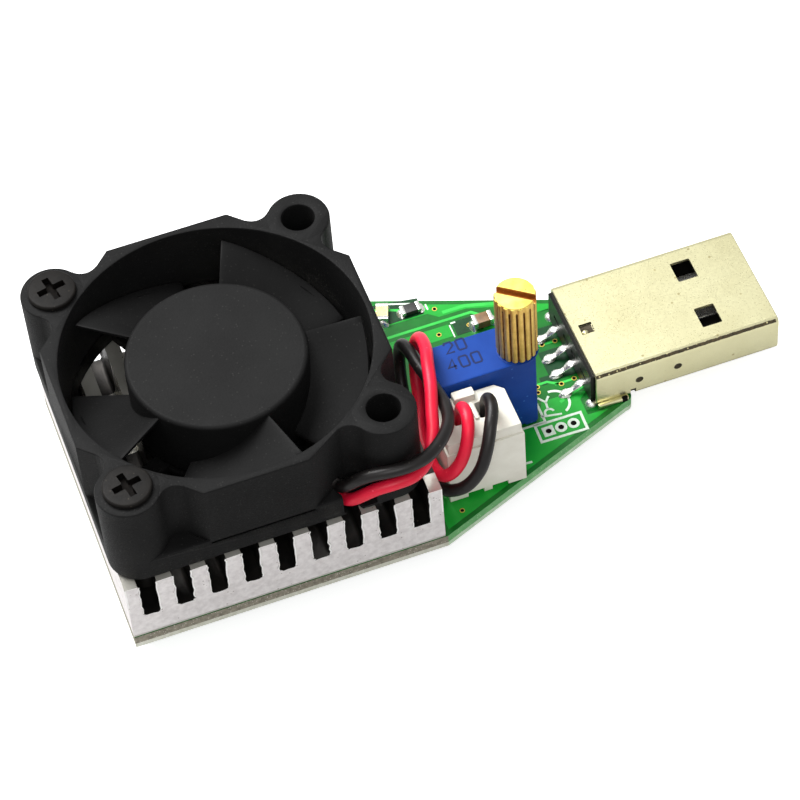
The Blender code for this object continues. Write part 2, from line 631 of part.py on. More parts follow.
def build_fan_frame():
    """Eight-sided body on a thin square flange, four ears, motor cup and struts, with the lead's channel."""
    flange_top = FAN_BOTTOM + FAN_FLANGE_HEIGHT
    flange = rounded_rectangle((0, 0), FAN_SIZE, FAN_SIZE, FAN_EAR_DIAMETER / 2, 6)
    frame = outline_solid("fan_frame", [flange], FAN_BOTTOM, flange_top, FAN_BLACK)
    join(frame, outline_solid("frame_body", [octagon()], flange_top - 0.0002, FAN_TOP))
    for i, centre in enumerate(ear_centres()):
        angle = math.atan2(centre[1], centre[0])
        distance = math.hypot(*centre)
        join(frame, cylinder(f"ear_{i}", centre, FAN_EAR_DIAMETER / 2, flange_top - 0.0002, FAN_TOP, 28))
        join(frame, radial_bar(f"ear_web_{i}", angle, FAN_BORE_DIAMETER / 2 - 0.0001, distance,
                               FAN_WEB_WIDTH, flange_top - 0.0002, FAN_TOP - 0.0006))
    bore = cylinder("fan_bore", (0, 0), FAN_BORE_DIAMETER / 2, FAN_BOTTOM - 0.001, FAN_TOP + 0.001, 72)
    cut(frame, bore)
    cup = cylinder("motor_cup", (0, 0), FAN_CUP_DIAMETER / 2, FAN_BOTTOM + 0.0001,
                   FAN_BOTTOM + FAN_CUP_FLOOR, 40)
    seat = cylinder("board_seat", (0, 0), BOARD_SEAT_RADIUS, FAN_BOTTOM + 0.0005, BOARD_SEAT_TOP, 28)
    tube = cylinder("bearing_tube", (0, 0), TUBE_OUTER, FAN_BOTTOM + 0.0003, TUBE_TOP, 28)
    reach = FAN_BORE_DIAMETER / 2 + 0.0003
    for k in (1, 2, 3):
        strut = radial_bar(f"strut_{k}", LEAD_ANGLE + k * math.pi / 2, FAN_CUP_DIAMETER / 2 - 0.0008, reach,
                           FAN_STRUT_WIDTH, FAN_BOTTOM + 0.0002, FAN_BOTTOM + FAN_STRUT_HEIGHT)
        join(cup, strut)
    low_trough = radial_bar("lead_strut", LEAD_ANGLE, FAN_CUP_DIAMETER / 2 - 0.0008, CHANNEL_STEP + 0.001,
                            TROUGH_WIDTH, FAN_BOTTOM + 0.0002, FAN_BOTTOM + CHANNEL_LOW + LEAD_CHANNEL_ROOF)
    high_trough = radial_bar("lead_trough", LEAD_ANGLE, CHANNEL_STEP, reach, TROUGH_WIDTH,
                             FAN_BOTTOM + 0.00015, FAN_BOTTOM + CHANNEL_HIGH + LEAD_CHANNEL_ROOF)
    join(cup, low_trough, high_trough, seat, tube)
    join(frame, cup)
    cut(frame, cylinder("bearing_bore", (0, 0), TUBE_INNER, FAN_BOTTOM - 0.001, TUBE_TOP + 0.001, 28))
    below = FAN_BOTTOM - 0.001
    cut(frame,
        radial_bar("low_channel", LEAD_ANGLE, CHANNEL_INNER, CHANNEL_STEP + 0.0005, CHANNEL_WIDTH, below,
                   FAN_BOTTOM + CHANNEL_LOW),
        radial_bar("high_channel", LEAD_ANGLE, CHANNEL_STEP + 0.0002, CHANNEL_OUTER, CHANNEL_WIDTH,
                   below - 0.0001, FAN_BOTTOM + CHANNEL_HIGH),
        radial_bar("lead_notch", LEAD_ANGLE, CHANNEL_OUTER - 0.0005, CHANNEL_OUTER + 0.0007, NOTCH_WIDTH,
                   below - 0.0002, FAN_BOTTOM + CHANNEL_HIGH - 0.00005),
        radial_bar("lead_window", LEAD_ANGLE, CHANNEL_OUTER + 0.0006, FAN_SIZE, NOTCH_WIDTH + 0.00004,
                   below - 0.0003, FAN_BOTTOM + NOTCH_TOP),
        box("lead_relief", (LEAD_RELIEF_X[0], -FAN_SIZE / 2 - 0.001, FAN_BOTTOM + LEAD_RELIEF_FLOOR),
            (LEAD_RELIEF_X[1], -FAN_SIZE / 2 + LEAD_RELIEF_DEPTH, flange_top + 0.0001)))
    for i, centre in enumerate(ear_centres()):
        cut(frame, cylinder(f"ear_hole_{i}", centre, FAN_HOLE_DIAMETER / 2, FAN_BOTTOM - 0.001,
                            FAN_TOP + 0.001, 24))


# Impeller and rotor

HUB_TOP = FAN_TOP - HUB_RECESS
HUB_RADIUS = HUB_DIAMETER / 2
HUB_INNER = HUB_RADIUS - HUB_WALL
HUB_CEILING = HUB_TOP - HUB_WALL
BOSS_RADIUS = SHAFT_DIAMETER / 2 + SEAT + 0.0008
BOSS_BOTTOM = TUBE_TOP + 0.0004
SHAFT_TOP = HUB_TOP - 0.0005
YOKE_OUTER = HUB_INNER - SEAT
YOKE_TOP = HUB_CEILING - SEAT
YOKE_BOTTOM = FAN_BOTTOM + 0.0026
MAGNET_OUTER = YOKE_OUTER - YOKE_WALL - SEAT
MAGNET_INNER = MAGNET_OUTER - MAGNET_WALL
MAGNET_TOP = YOKE_TOP - YOKE_WALL - SEAT - 0.0002
STATOR_RADIUS = MAGNET_INNER - AIR_GAP
STATOR_CENTRE_Z = MAGNET_TOP - MAGNET_HEIGHT / 2


def blade_surface(lead_angle):
    """Open sheet: along the radius, and along the chord, where it turns clockwise and falls."""
    radial, chord = 5, 8
    inner = HUB_RADIUS - BLADE_ROOT_DEPTH
    outer = FAN_BORE_DIAMETER / 2 - TIP_GAP
    top = FAN_TOP - BLADE_TOP_DROP
    bottom = FAN_BOTTOM + BLADE_BOTTOM
    bm = bmesh.new()
    rows = []
    for i in range(radial + 1):
        radius = inner + (outer - inner) * i / radial
        row = []
        for j in range(chord + 1):
            v = j / chord
            angle = lead_angle - BLADE_SWEEP * v
            height = top + (bottom - top) * (v + BLADE_CAMBER * math.sin(math.pi * v))
            row.append(bm.verts.new((radius * math.cos(angle), radius * math.sin(angle), height)))
        rows.append(row)
    for low, high in zip(rows, rows[1:]):
        for j in range(chord):
            bm.faces.new((low[j + 1], high[j + 1], high[j], low[j]))
    bm.normal_update()
    return bm


def build_impeller():
    """Cup-shaped hub with a boss for the shaft, and twisted blades round it."""
    bore = SHAFT_DIAMETER / 2 + SEAT
    edge = HUB_EDGE_RADIUS
    profile = [(0.0, HUB_TOP), (HUB_RADIUS - edge, HUB_TOP), (HUB_RADIUS - edge * 0.3, HUB_TOP - edge * 0.3),
               (HUB_RADIUS, HUB_TOP - edge), (HUB_RADIUS, FAN_BOTTOM + HUB_SKIRT_BOTTOM),
               (HUB_INNER, FAN_BOTTOM + HUB_SKIRT_BOTTOM), (HUB_INNER, HUB_CEILING),
               (BOSS_RADIUS, HUB_CEILING), (BOSS_RADIUS, BOSS_BOTTOM), (bore, BOSS_BOTTOM),
               (bore, SHAFT_TOP + SEAT), (0.0, SHAFT_TOP + SEAT)]
    hub = turned("impeller", profile, 60, FAN_BLACK)
    for k in range(BLADE_COUNT):
        name = f"blade_{k}"
        surface = blade_surface(BLADE_LEAD_ANGLE + k * 2 * math.pi / BLADE_COUNT)
        blade = add_object(name, finish_bmesh(surface, name))
        skin = blade.modifiers.new("thickness", "SOLIDIFY")
        skin.thickness = BLADE_THICKNESS
        skin.offset = 0.0
        join(hub, blade)


def build_rotor():
    """Steel cup and ring magnet inside the hub, shaft with its retaining clip."""
    hole = BOSS_RADIUS + SEAT
    inner = YOKE_OUTER - YOKE_WALL
    turned("rotor_yoke", [(YOKE_OUTER, YOKE_TOP), (YOKE_OUTER, YOKE_BOTTOM), (inner, YOKE_BOTTOM),
                          (inner, YOKE_TOP - YOKE_WALL), (hole, YOKE_TOP - YOKE_WALL), (hole, YOKE_TOP)],
           48, STEEL, closed=True)
    ring("rotor_magnet", MAGNET_INNER, MAGNET_OUTER, MAGNET_TOP - MAGNET_HEIGHT, MAGNET_TOP, 48, MAGNET_GREY)
    radius = SHAFT_DIAMETER / 2
    groove = radius - 0.00025
    clip_bottom = BUSH_BOTTOM - 0.0003 - CLIP_THICKNESS
    clip_top = clip_bottom + CLIP_THICKNESS
    shaft_end = clip_bottom - 0.0003
    turned("rotor_shaft", [(0.0, SHAFT_TOP), (radius, SHAFT_TOP), (radius, clip_top + 0.00005),
                           (groove, clip_top + 0.00005), (groove, clip_bottom - 0.00005),
                           (radius, clip_bottom - 0.00005), (radius, shaft_end), (0.0, shaft_end)], 24, STEEL)
    ring("shaft_clip", groove + 0.00005, CLIP_DIAMETER / 2, clip_bottom, clip_top, 24, STEEL)


def build_stator():
    """Sleeve bearing, laminated core with four poles, a winding on each, and the motor's board."""
    running = SHAFT_DIAMETER / 2 + BUSH_RUNNING
    ring("sleeve_bearing", running, running + BUSH_WALL, BUSH_BOTTOM, BUSH_TOP, 24, BRONZE)
    low, high = STATOR_CENTRE_Z - STATOR_HEIGHT / 2, STATOR_CENTRE_Z + STATOR_HEIGHT / 2
    bore = TUBE_OUTER + SEAT
    core = ring("stator_core", bore, bore + 0.0009, low, high, 40, STEEL)
    shoe_inner = STATOR_RADIUS - STATOR_SHOE
    neck_start = bore + 0.0006
    core_half = STATOR_NECK / 2 + SEAT
    coil_half = core_half + WINDING_THICKNESS
    coil_inner, coil_outer = bore + 0.0009 + SEAT, math.sqrt(shoe_inner ** 2 - coil_half ** 2) - SEAT
    for k in range(STATOR_POLES):
        angle = k * 2 * math.pi / STATOR_POLES + math.pi / 4
        join(core, radial_bar(f"pole_neck_{k}", angle, neck_start, STATOR_RADIUS - STATOR_SHOE / 2,
                              STATOR_NECK, low, high))
        spread = math.radians(33)
        shoe = [(STATOR_RADIUS * math.cos(t), STATOR_RADIUS * math.sin(t))
                for t in [angle + spread * (i / 4 - 1) for i in range(9)]]
        shoe += [(shoe_inner * math.cos(t), shoe_inner * math.sin(t))
                 for t in [angle - spread * (i / 4 - 1) for i in range(9)]]
        join(core, outline_solid(f"pole_shoe_{k}", [shoe], low + 0.00005, high - 0.00005))
        winding = radial_bar(f"winding_{k + 1}", angle, coil_inner, coil_outer, 2 * coil_half,
                             low - SEAT - WINDING_THICKNESS, high + SEAT + WINDING_THICKNESS, COPPER)
        bevel(winding, 0.0002, 1)
        cut(winding, radial_bar(f"winding_core_{k}", angle, coil_inner - 0.001, coil_outer + 0.001,
                                2 * core_half, low - SEAT, high + SEAT))
    ring("motor_board", TUBE_OUTER + SEAT, MOTOR_BOARD_DIAMETER / 2, BOARD_SEAT_TOP + SEAT,
         BOARD_SEAT_TOP + SEAT + MOTOR_BOARD_THICKNESS, 36, BOARD_GREEN)


# Screws

def build_fan_screw(side, centre):
    """Pan-head screw with a cross recess; its shank bites between two fins."""
    seat = FAN_TOP + SEAT
    top = seat + SCREW_HEAD_HEIGHT
    head, shank = SCREW_HEAD_DIAMETER / 2, SCREW_DIAMETER / 2
    rim = 0.0003
    screw = turned("fan_screw_" + side, [
        (0.0, top), (head * 0.66, top), (head * 0.84, top - rim * 0.5), (head * 0.9, top - rim * 1.6),
        (head, top - rim * 1.8), (head, seat), (shank, seat), (shank, SCREW_TIP + 0.0008),
        (shank * 0.35, SCREW_TIP), (0.0, SCREW_TIP)], 24, SCREW_BLACK, centre)
    for k, turn in enumerate((0.0, 90.0)):
        bar = box(f"recess_{side}_{k}", (-SCREW_RECESS_LENGTH / 2, -SCREW_RECESS_WIDTH / 2, 0.0),
                  (SCREW_RECESS_LENGTH / 2, SCREW_RECESS_WIDTH / 2, SCREW_RECESS_DEPTH + 0.001))
        bar.matrix_world = (Matrix.Translation((*centre, top - SCREW_RECESS_DEPTH))
                            @ Matrix.Rotation(math.radians(12.0 + turn), 4, "Z")
                            @ Matrix.Translation(bar.location))
        cut(screw, bar)


# Trimmer

SCREW_X = TRIMMER_X + TRIMMER_LENGTH / 2 - TRIMMER_SCREW_INSET
SCREW_Y = TRIMMER_Y + TRIMMER_SCREW_OFFSET_Y
TRIMMER_SCREW_BOTTOM = TRIMMER_TOP - TRIMMER_SCREW_DEPTH
KNOB_BOTTOM = TRIMMER_TOP + 2 * SEAT
KNOB_TOP = KNOB_BOTTOM + KNOB_HEIGHT


def build_trimmer():
    """Blue case on four small feet, open at the top for the adjusting screw, and three pins."""
    bottom = BOARD_TOP + SEAT
    low = Vector((TRIMMER_LEFT, TRIMMER_FRONT, bottom + TRIMMER_FOOT))
    high = Vector((TRIMMER_LEFT + TRIMMER_LENGTH, TRIMMER_FRONT + TRIMMER_WIDTH, TRIMMER_TOP))
    case = box("trimmer_case", low, high, TRIMMER_BLUE, 0.00012)
    inset = 0.00015
    for i, sx in enumerate((0, 1)):
        x = low.x + inset if sx == 0 else high.x - inset - TRIMMER_FOOT_LENGTH
        foot = box(f"trimmer_foot_{i}", (x, low.y + inset, bottom),
                   (x + TRIMMER_FOOT_LENGTH, high.y - inset, low.z + 0.0003))
        join(case, foot)
    cut(case, cylinder("trimmer_screw_bore", (SCREW_X, SCREW_Y), TRIMMER_SCREW_DIAMETER / 2 + SEAT,
                       TRIMMER_SCREW_BOTTOM - SEAT, TRIMMER_TOP + 0.001, 24))
    for i, x in enumerate(TRIMMER_PIN_XS):
        cylinder(f"trimmer_pin_{i + 1}", (x, TRIMMER_Y), TRIMMER_PIN_DIAMETER / 2, -PIN_TAIL,
                 low.z - SEAT, 12, TIN)


def knob_outline():
    """Circle with shallow flutes: the radius falls and rises once for each flute."""
    points = []
    crest, root = KNOB_DIAMETER / 2, KNOB_DIAMETER / 2 - KNOB_FLUTE_DEPTH
    step = 2 * math.pi / KNOB_FLUTES
    for k in range(KNOB_FLUTES):
        for share, radius in ((0.0, crest), (0.42, crest), (0.58, root), (0.84, root)):
            angle = (k + share) * step
            points.append((radius * math.cos(angle), radius * math.sin(angle)))
    return points


def build_knob():
    """Fluted brass cap with a screwdriver slot, on the trimmer's adjusting screw."""
    place = Matrix.Translation((SCREW_X, SCREW_Y, 0.0))
    knob = outline_solid("trimmer_knob", [knob_outline()], KNOB_BOTTOM, KNOB_TOP, BRASS, place)
    slot = box("knob_slot", (-KNOB_DIAMETER, -KNOB_SLOT_WIDTH / 2, 0.0),
               (KNOB_DIAMETER, KNOB_SLOT_WIDTH / 2, KNOB_SLOT_DEPTH + 0.001))
    slot.matrix_world = (Matrix.Translation((SCREW_X, SCREW_Y, KNOB_TOP - KNOB_SLOT_DEPTH))
                         @ Matrix.Rotation(math.radians(KNOB_SLOT_TURN), 4, "Z")
                         @ Matrix.Translation(slot.location))
    radius = TRIMMER_SCREW_DIAMETER / 2
    bore = cylinder("knob_bore", (SCREW_X, SCREW_Y), radius + SEAT, KNOB_BOTTOM - 0.001,
                    KNOB_BOTTOM + KNOB_BORE_DEPTH, 24)
    cut(knob, slot, bore)
    cylinder("trimmer_screw", (SCREW_X, SCREW_Y), radius, TRIMMER_SCREW_BOTTOM,
             KNOB_BOTTOM + KNOB_BORE_DEPTH - SEAT, 24, BRASS)


# Fan header and plug

HEADER_BOTTOM = BOARD_TOP + SEAT
HEADER_TOP = BOARD_TOP + HEADER_HEIGHT
HEADER_LOW = (HEADER_X - HEADER_LENGTH / 2, HEADER_Y - HEADER_WIDTH / 2)
HEADER_HIGH = (HEADER_X + HEADER_LENGTH / 2, HEADER_Y + HEADER_WIDTH / 2)
KEYWAY_XS = (HEADER_X - HEADER_KEYWAY_SPACING / 2, HEADER_X + HEADER_KEYWAY_SPACING / 2)
PLUG_BOTTOM = HEADER_BOTTOM + HEADER_FLOOR + SEAT
PLUG_CAP_BOTTOM = HEADER_TOP + SEAT
PLUG_TOP = PLUG_CAP_BOTTOM + PLUG_CAP_HEIGHT
CONTACT_BOTTOM = PLUG_BOTTOM + 0.0004
CONTACT_TOP = CONTACT_BOTTOM + CONTACT_HEIGHT


def build_header():
    """Open shroud with a floor, two keyways in its back wall and gaps between its front feet."""
    header = box("fan_header", (*HEADER_LOW, HEADER_BOTTOM), (*HEADER_HIGH, HEADER_TOP), CONNECTOR_WHITE)
    cut(header, box("header_inside",
                    (HEADER_LOW[0] + HEADER_WALL, HEADER_LOW[1] + HEADER_WALL, HEADER_BOTTOM + HEADER_FLOOR),
                    (HEADER_HIGH[0] - HEADER_WALL, HEADER_HIGH[1] - HEADER_WALL, HEADER_TOP + 0.001)))
    for i, x in enumerate(KEYWAY_XS):
        cut(header, box(f"keyway_{i}",
                        (x - HEADER_KEYWAY_WIDTH / 2, HEADER_HIGH[1] - HEADER_WALL - 0.0005,
                         HEADER_TOP - HEADER_KEYWAY_DEPTH),
                        (x + HEADER_KEYWAY_WIDTH / 2, HEADER_HIGH[1] + 0.001, HEADER_TOP + 0.001)))
    pillar = 0.00035
    for i, side in enumerate((-1, 1)):
        centre = HEADER_X + side * (pillar + HEADER_FOOT_GAP / 2)
        half = HEADER_FOOT_GAP / 2
        cut(header, box(f"foot_gap_{i}", (centre - half, HEADER_LOW[1] - 0.001, HEADER_BOTTOM - 0.001),
                        (centre + half, HEADER_LOW[1] + HEADER_WALL, HEADER_BOTTOM + HEADER_FOOT_HEIGHT)))
    hole = HEADER_PIN_WIDTH / 2 + SEAT
    for i, x in enumerate(CONTACT_XS):
        cut(header, box(f"pin_hole_{i}", (x - hole, CONTACT_Y - hole, HEADER_BOTTOM - 0.001),
                        (x + hole, CONTACT_Y + hole, HEADER_BOTTOM + HEADER_FLOOR + 0.001)))
        half = HEADER_PIN_WIDTH / 2
        box(f"header_pin_{i + 1}", (x - half, CONTACT_Y - half, -PIN_TAIL),
            (x + half, CONTACT_Y + half, BOARD_TOP + HEADER_PIN_RISE), TIN)


def build_fan_plug():
    """Housing in the header: body, keys, cap over the shroud's rim and a square cavity for each contact."""
    inset = HEADER_WALL + SEAT
    back = HEADER_HIGH[1] - PLUG_CAP_INSET
    plug = box("fan_plug", (HEADER_LOW[0] + PLUG_CAP_INSET, HEADER_LOW[1] + PLUG_CAP_INSET, PLUG_CAP_BOTTOM),
               (HEADER_HIGH[0] - PLUG_CAP_INSET, back, PLUG_TOP), CONNECTOR_WHITE, 0.00025)
    join(plug, box("plug_body", (HEADER_LOW[0] + inset, HEADER_LOW[1] + inset, PLUG_BOTTOM),
                   (HEADER_HIGH[0] - inset, HEADER_HIGH[1] - inset, PLUG_CAP_BOTTOM + 0.0006)))
    for i, x in enumerate(KEYWAY_XS):
        half = HEADER_KEYWAY_WIDTH / 2 - SEAT
        join(plug, box(f"plug_key_{i}",
                       (x - half, HEADER_HIGH[1] - HEADER_WALL - 0.0006,
                        HEADER_TOP - HEADER_KEYWAY_DEPTH + SEAT),
                       (x + half, back - SEAT, PLUG_CAP_BOTTOM + 0.0005)))
    rib_x = HEADER_X + PLUG_RIB_OFFSET_X
    join(plug, box("plug_rib", (rib_x - PLUG_RIB_WIDTH / 2, back - PLUG_RIB_DEPTH, PLUG_TOP - 0.0004),
                   (rib_x + PLUG_RIB_WIDTH / 2, back - 0.00005, PLUG_TOP + PLUG_RIB_RISE)))
    for i, x in enumerate(CONTACT_XS):
        half = PLUG_CAVITY / 2
        cut(plug, box(f"plug_cavity_{i}", (x - half, CONTACT_Y - half, PLUG_BOTTOM - 0.001),
                      (x + half, CONTACT_Y + half, PLUG_TOP + 0.001)))
        outer, inner = CONTACT_WIDTH / 2, CONTACT_BORE / 2
        contact = box(f"crimp_contact_{i + 1}", (x - outer, CONTACT_Y - outer, CONTACT_BOTTOM),
                      (x + outer, CONTACT_Y + outer, CONTACT_TOP), TIN)
        cut(contact, box(f"contact_bore_{i}", (x - inner, CONTACT_Y - inner, CONTACT_BOTTOM - 0.001),
                         (x + inner, CONTACT_Y + inner, CONTACT_TOP - 0.0004)))


# USB plug

WINDOW_X = SHELL_TIP - WINDOW_TIP_DISTANCE - WINDOW_LENGTH / 2
TONGUE_BOTTOM = SHELL_BOTTOM + SHELL_WALL + SEAT
TONGUE_TOP = TONGUE_BOTTOM + TONGUE_THICKNESS
TONGUE_TIP = SHELL_TIP - TONGUE_TIP_RECESS
ALONG_X = Matrix(((0, 0, 1, 0), (1, 0, 0, 0), (0, 1, 0, 0), (0, 0, 0, 1)))


def build_shell():
    """Folded steel box, round along its edges, with four windows and two legs through the board."""
    centre = (SHELL_CENTRE_Y, (SHELL_BOTTOM + SHELL_TOP) / 2)
    outer = rounded_rectangle(centre, SHELL_WIDTH, SHELL_HEIGHT, SHELL_CORNER, 4)
    inner = rounded_rectangle(centre, SHELL_WIDTH - 2 * SHELL_WALL, SHELL_HEIGHT - 2 * SHELL_WALL,
                              SHELL_CORNER - SHELL_WALL, 4)
    shell = outline_solid("usb_shell", [outer, inner], SHELL_REAR, SHELL_TIP, PLATED_STEEL, ALONG_X)
    for i, side in enumerate((-1, 1)):
        y = SHELL_CENTRE_Y + side * WINDOW_SPACING / 2
        half = WINDOW_WIDTH / 2
        cut(shell, box(f"window_{i}", (WINDOW_X - WINDOW_LENGTH / 2, y - half, SHELL_BOTTOM - 0.001),
                       (WINDOW_X + WINDOW_LENGTH / 2, y + half, SHELL_TOP + 0.001)))
        leg_y = SHELL_CENTRE_Y + side * LEG_OFFSET_Y
        half = SHELL_WALL / 2 - 0.00001
        leg = box(f"shell_leg_{i}", (LEG_CENTRE_X - SHELL_LEG_LENGTH / 2, leg_y - half, 0.0002),
                  (LEG_CENTRE_X + SHELL_LEG_LENGTH / 2, leg_y + half, SHELL_BOTTOM + SHELL_CORNER + 0.0004))
        join(shell, leg)


def contact_profile(thickness_gap):
    """Side view of a contact: along the tongue's top, down behind the plug and along its pad.

    With a gap, the outline grows by it on every side and gives the slot that the contact lies in.
    """
    g = thickness_gap
    t = USB_CONTACT_THICKNESS
    top = TONGUE_TOP + t / 2
    rear = SHELL_REAR - INSULATOR_PROTRUSION
    drop = rear - 0.0004
    foot = BOARD_TOP + SEAT
    tail = rear - USB_CONTACT_TAIL
    tip = TONGUE_TIP - 0.0006
    upper = [(tip + g, top + g), (drop + 0.0002, top + g), (tail + USB_CONTACT_FOOT, foot + t + g),
             (tail - g, foot + t + g)]
    lower = [(tail - g, foot - g), (tail + USB_CONTACT_FOOT + 0.0002, foot - g), (drop + 0.0004, top - t - g),
             (tip + g, top - t - g)]
    return upper + lower


def build_insulator():
    """Black block that closes the shell's rear, in one piece with the tongue; a slot holds each contact."""
    low_y, high_y = SHELL_CENTRE_Y - TONGUE_WIDTH / 2, SHELL_CENTRE_Y + TONGUE_WIDTH / 2
    rear = SHELL_REAR - INSULATOR_PROTRUSION
    block = box("usb_insulator", (rear, low_y, TONGUE_BOTTOM),
                (rear + INSULATOR_BLOCK_LENGTH, high_y, SHELL_TOP - SHELL_WALL - SEAT), PLASTIC_BLACK)
    join(block, box("usb_tongue", (rear + INSULATOR_BLOCK_LENGTH - 0.0005, low_y + 0.00005,
                                   TONGUE_BOTTOM + 0.00002),
                    (TONGUE_TIP, high_y - 0.00005, TONGUE_TOP)))
    upright = Matrix.Rotation(math.radians(90), 4, "X")
    half = USB_CONTACT_WIDTH / 2
    for i, offset in enumerate(USB_CONTACT_OFFSETS):
        y = SHELL_CENTRE_Y + offset
        slot = outline_solid(f"contact_slot_{i}", [contact_profile(SEAT)], -y - half - SEAT, -y + half + SEAT,
                             None, upright)
        cut(block, slot)
        outline_solid(f"usb_contact_{i + 1}", [contact_profile(0.0)], -y - half, -y + half, TIN, upright)


# Small parts

def build_chips():
    """Two-terminal chips on both faces of the board."""
    finishes = {"power_led": LED_CREAM, "supply_capacitor": CHIP_BROWN, "filter_capacitor": CHIP_BROWN}
    for group, sign in ((TOP_CHIPS, 1), (UNDER_CHIPS, -1)):
        face = BOARD_TOP + SEAT if sign > 0 else -SEAT
        for name, ((dx, dy), (length, width, height), turn) in group.items():
            x, y = BOARD_TAPER_START + dx, BOARD_CENTRE_Y + dy
            mat = finishes.get(name, CHIP_BLACK)
            chip = box(name, (-length / 2, -width / 2, min(0.0, sign * height)),
                       (length / 2, width / 2, max(0.0, sign * height)), mat, 0.00008)
            chip.matrix_world = (Matrix.Translation((x, y, face))
                                 @ Matrix.Rotation(math.radians(turn), 4, "Z")
                                 @ Matrix.Translation(chip.location))


def under_box(name, centre, size, top, mat=None, rounded=0.0):
    """Box hanging below the board: centre in plan, size, and the height of its upper face."""
    low = (centre[0] - size[0] / 2, centre[1] - size[1] / 2, top - size[2])
    high = (centre[0] + size[0] / 2, centre[1] + size[1] / 2, top)
    return box(name, low, high, mat, rounded)


def build_transistor():
    """Power transistor: moulded body, a metal tab on one side and two legs on the other."""
    x, y = BOARD_TAPER_START + TRANSISTOR_CENTRE[0], BOARD_CENTRE_Y + TRANSISTOR_CENTRE[1]
    length, width, height = TRANSISTOR_BODY
    body = under_box("power_transistor", (x, y), TRANSISTOR_BODY, -SEAT, CHIP_BLACK, 0.0001)
    tab_length = 0.0012
    join(body, under_box("transistor_tab", (x - length / 2 - tab_length / 2 + 0.0003, y),
                         (tab_length + 0.0006, width * 0.8, 0.0005), -SEAT - 0.00002))
    for i, side in enumerate((-1, 1)):
        join(body, under_box(f"transistor_leg_{i}", (x + length / 2 + 0.0011, y + side * 0.00228),
                             (0.0026, 0.0008, 0.0005), -SEAT - 0.00002))


def build_amplifier():
    """Eight-leg amplifier chip: moulded body with four flat legs on each long side."""
    x, y = BOARD_TAPER_START + AMPLIFIER_CENTRE[0], BOARD_CENTRE_Y + AMPLIFIER_CENTRE[1]
    length, width, height = AMPLIFIER_BODY
    body = under_box("amplifier_chip", (x, y), AMPLIFIER_BODY, -SEAT - 0.0001, CHIP_BLACK, 0.0001)
    for row in (-1, 1):
        for k in range(4):
            join(body, under_box(f"amplifier_leg_{row}_{k}",
                                 (x + (k - 1.5) * 0.00127, y + row * (width / 2 + 0.0004)),
                                 (0.0004, 0.0012, LEAD_FOOT_THICKNESS + 0.0001), -SEAT))


def build_reference():
    """Three-leg voltage reference."""
    x, y = BOARD_TAPER_START + REFERENCE_CENTRE[0], BOARD_CENTRE_Y + REFERENCE_CENTRE[1]
    width = REFERENCE_BODY[1]
    body = under_box("voltage_reference", (x, y), REFERENCE_BODY, -SEAT - 0.0001, CHIP_BLACK, 0.00008)
    for i, (dx, row) in enumerate(((-0.00095, -1), (0.00095, -1), (0.0, 1))):
        join(body, under_box(f"reference_leg_{i}", (x + dx, y + row * (width / 2 + 0.0002)),
                             (0.0004, 0.0008, LEAD_FOOT_THICKNESS + 0.0001), -SEAT))


def move_to_origin():
    """Shift the whole layout, cutters too, so that the centre of the tongue's end face is the origin."""
    bpy.context.view_layer.update()
    shift = Matrix.Translation((-TONGUE_TIP, -SHELL_CENTRE_Y, -(TONGUE_BOTTOM + TONGUE_TOP) / 2))
    for obj in list(PARTS.objects) + list(GUIDES.objects):
        obj.matrix_world = shift @ obj.matrix_world


def build():
    build_board()
    build_heatsink()
    build_fan_frame()
    build_impeller()
    build_rotor()
    build_stator()
    for side, centre in SCREW_CENTRES.items():
        build_fan_screw(side, centre)
    build_trimmer()
    build_knob()
    build_header()
    build_fan_plug()
    build_shell()
    build_insulator()
    build_chips()
    build_transistor()
    build_amplifier()
    build_reference()
    wire("fan_lead_red", RED_ROUTE, WIRE_DIAMETER, WIRE_RED)
    wire("fan_lead_black", BLACK_ROUTE, WIRE_DIAMETER, WIRE_BLACK)
    move_to_origin()


build()
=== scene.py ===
# Plug-in load tester with a finned heatsink under a small fan, dressed for the render
import math
import numpy as np
import bpy
import bmesh
from mathutils import Matrix, Vector
from mathutils.geometry import tessellate_polygon


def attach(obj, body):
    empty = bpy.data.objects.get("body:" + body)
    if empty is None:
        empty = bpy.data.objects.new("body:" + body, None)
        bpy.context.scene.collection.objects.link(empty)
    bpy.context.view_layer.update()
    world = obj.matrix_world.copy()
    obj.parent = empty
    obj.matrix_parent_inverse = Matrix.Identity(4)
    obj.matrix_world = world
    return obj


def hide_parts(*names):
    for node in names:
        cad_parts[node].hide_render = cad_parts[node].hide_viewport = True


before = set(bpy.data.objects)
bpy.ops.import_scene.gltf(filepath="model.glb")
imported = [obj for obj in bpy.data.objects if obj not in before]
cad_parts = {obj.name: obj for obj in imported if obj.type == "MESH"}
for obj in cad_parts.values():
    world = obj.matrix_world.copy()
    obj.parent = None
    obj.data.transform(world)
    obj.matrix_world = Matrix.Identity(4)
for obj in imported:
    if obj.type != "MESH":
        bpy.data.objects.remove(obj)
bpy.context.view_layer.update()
print("frame loaded")

# millimetres from layout zero to the row's origin, for the board with all that stands on it and for the fan
axes = {"board": np.array([-52.345, 1.05, -3.05]), "fan": np.array([-52.45, 0.68, -2.55])}
mm = 0.001


def toRow(points, level="board"):
    # layout millimetres to metres in the shared frame
    return (np.asarray(points, float) + axes[level]) * mm


# mesh helpers: each shape is (points in mm, list of index arrays)

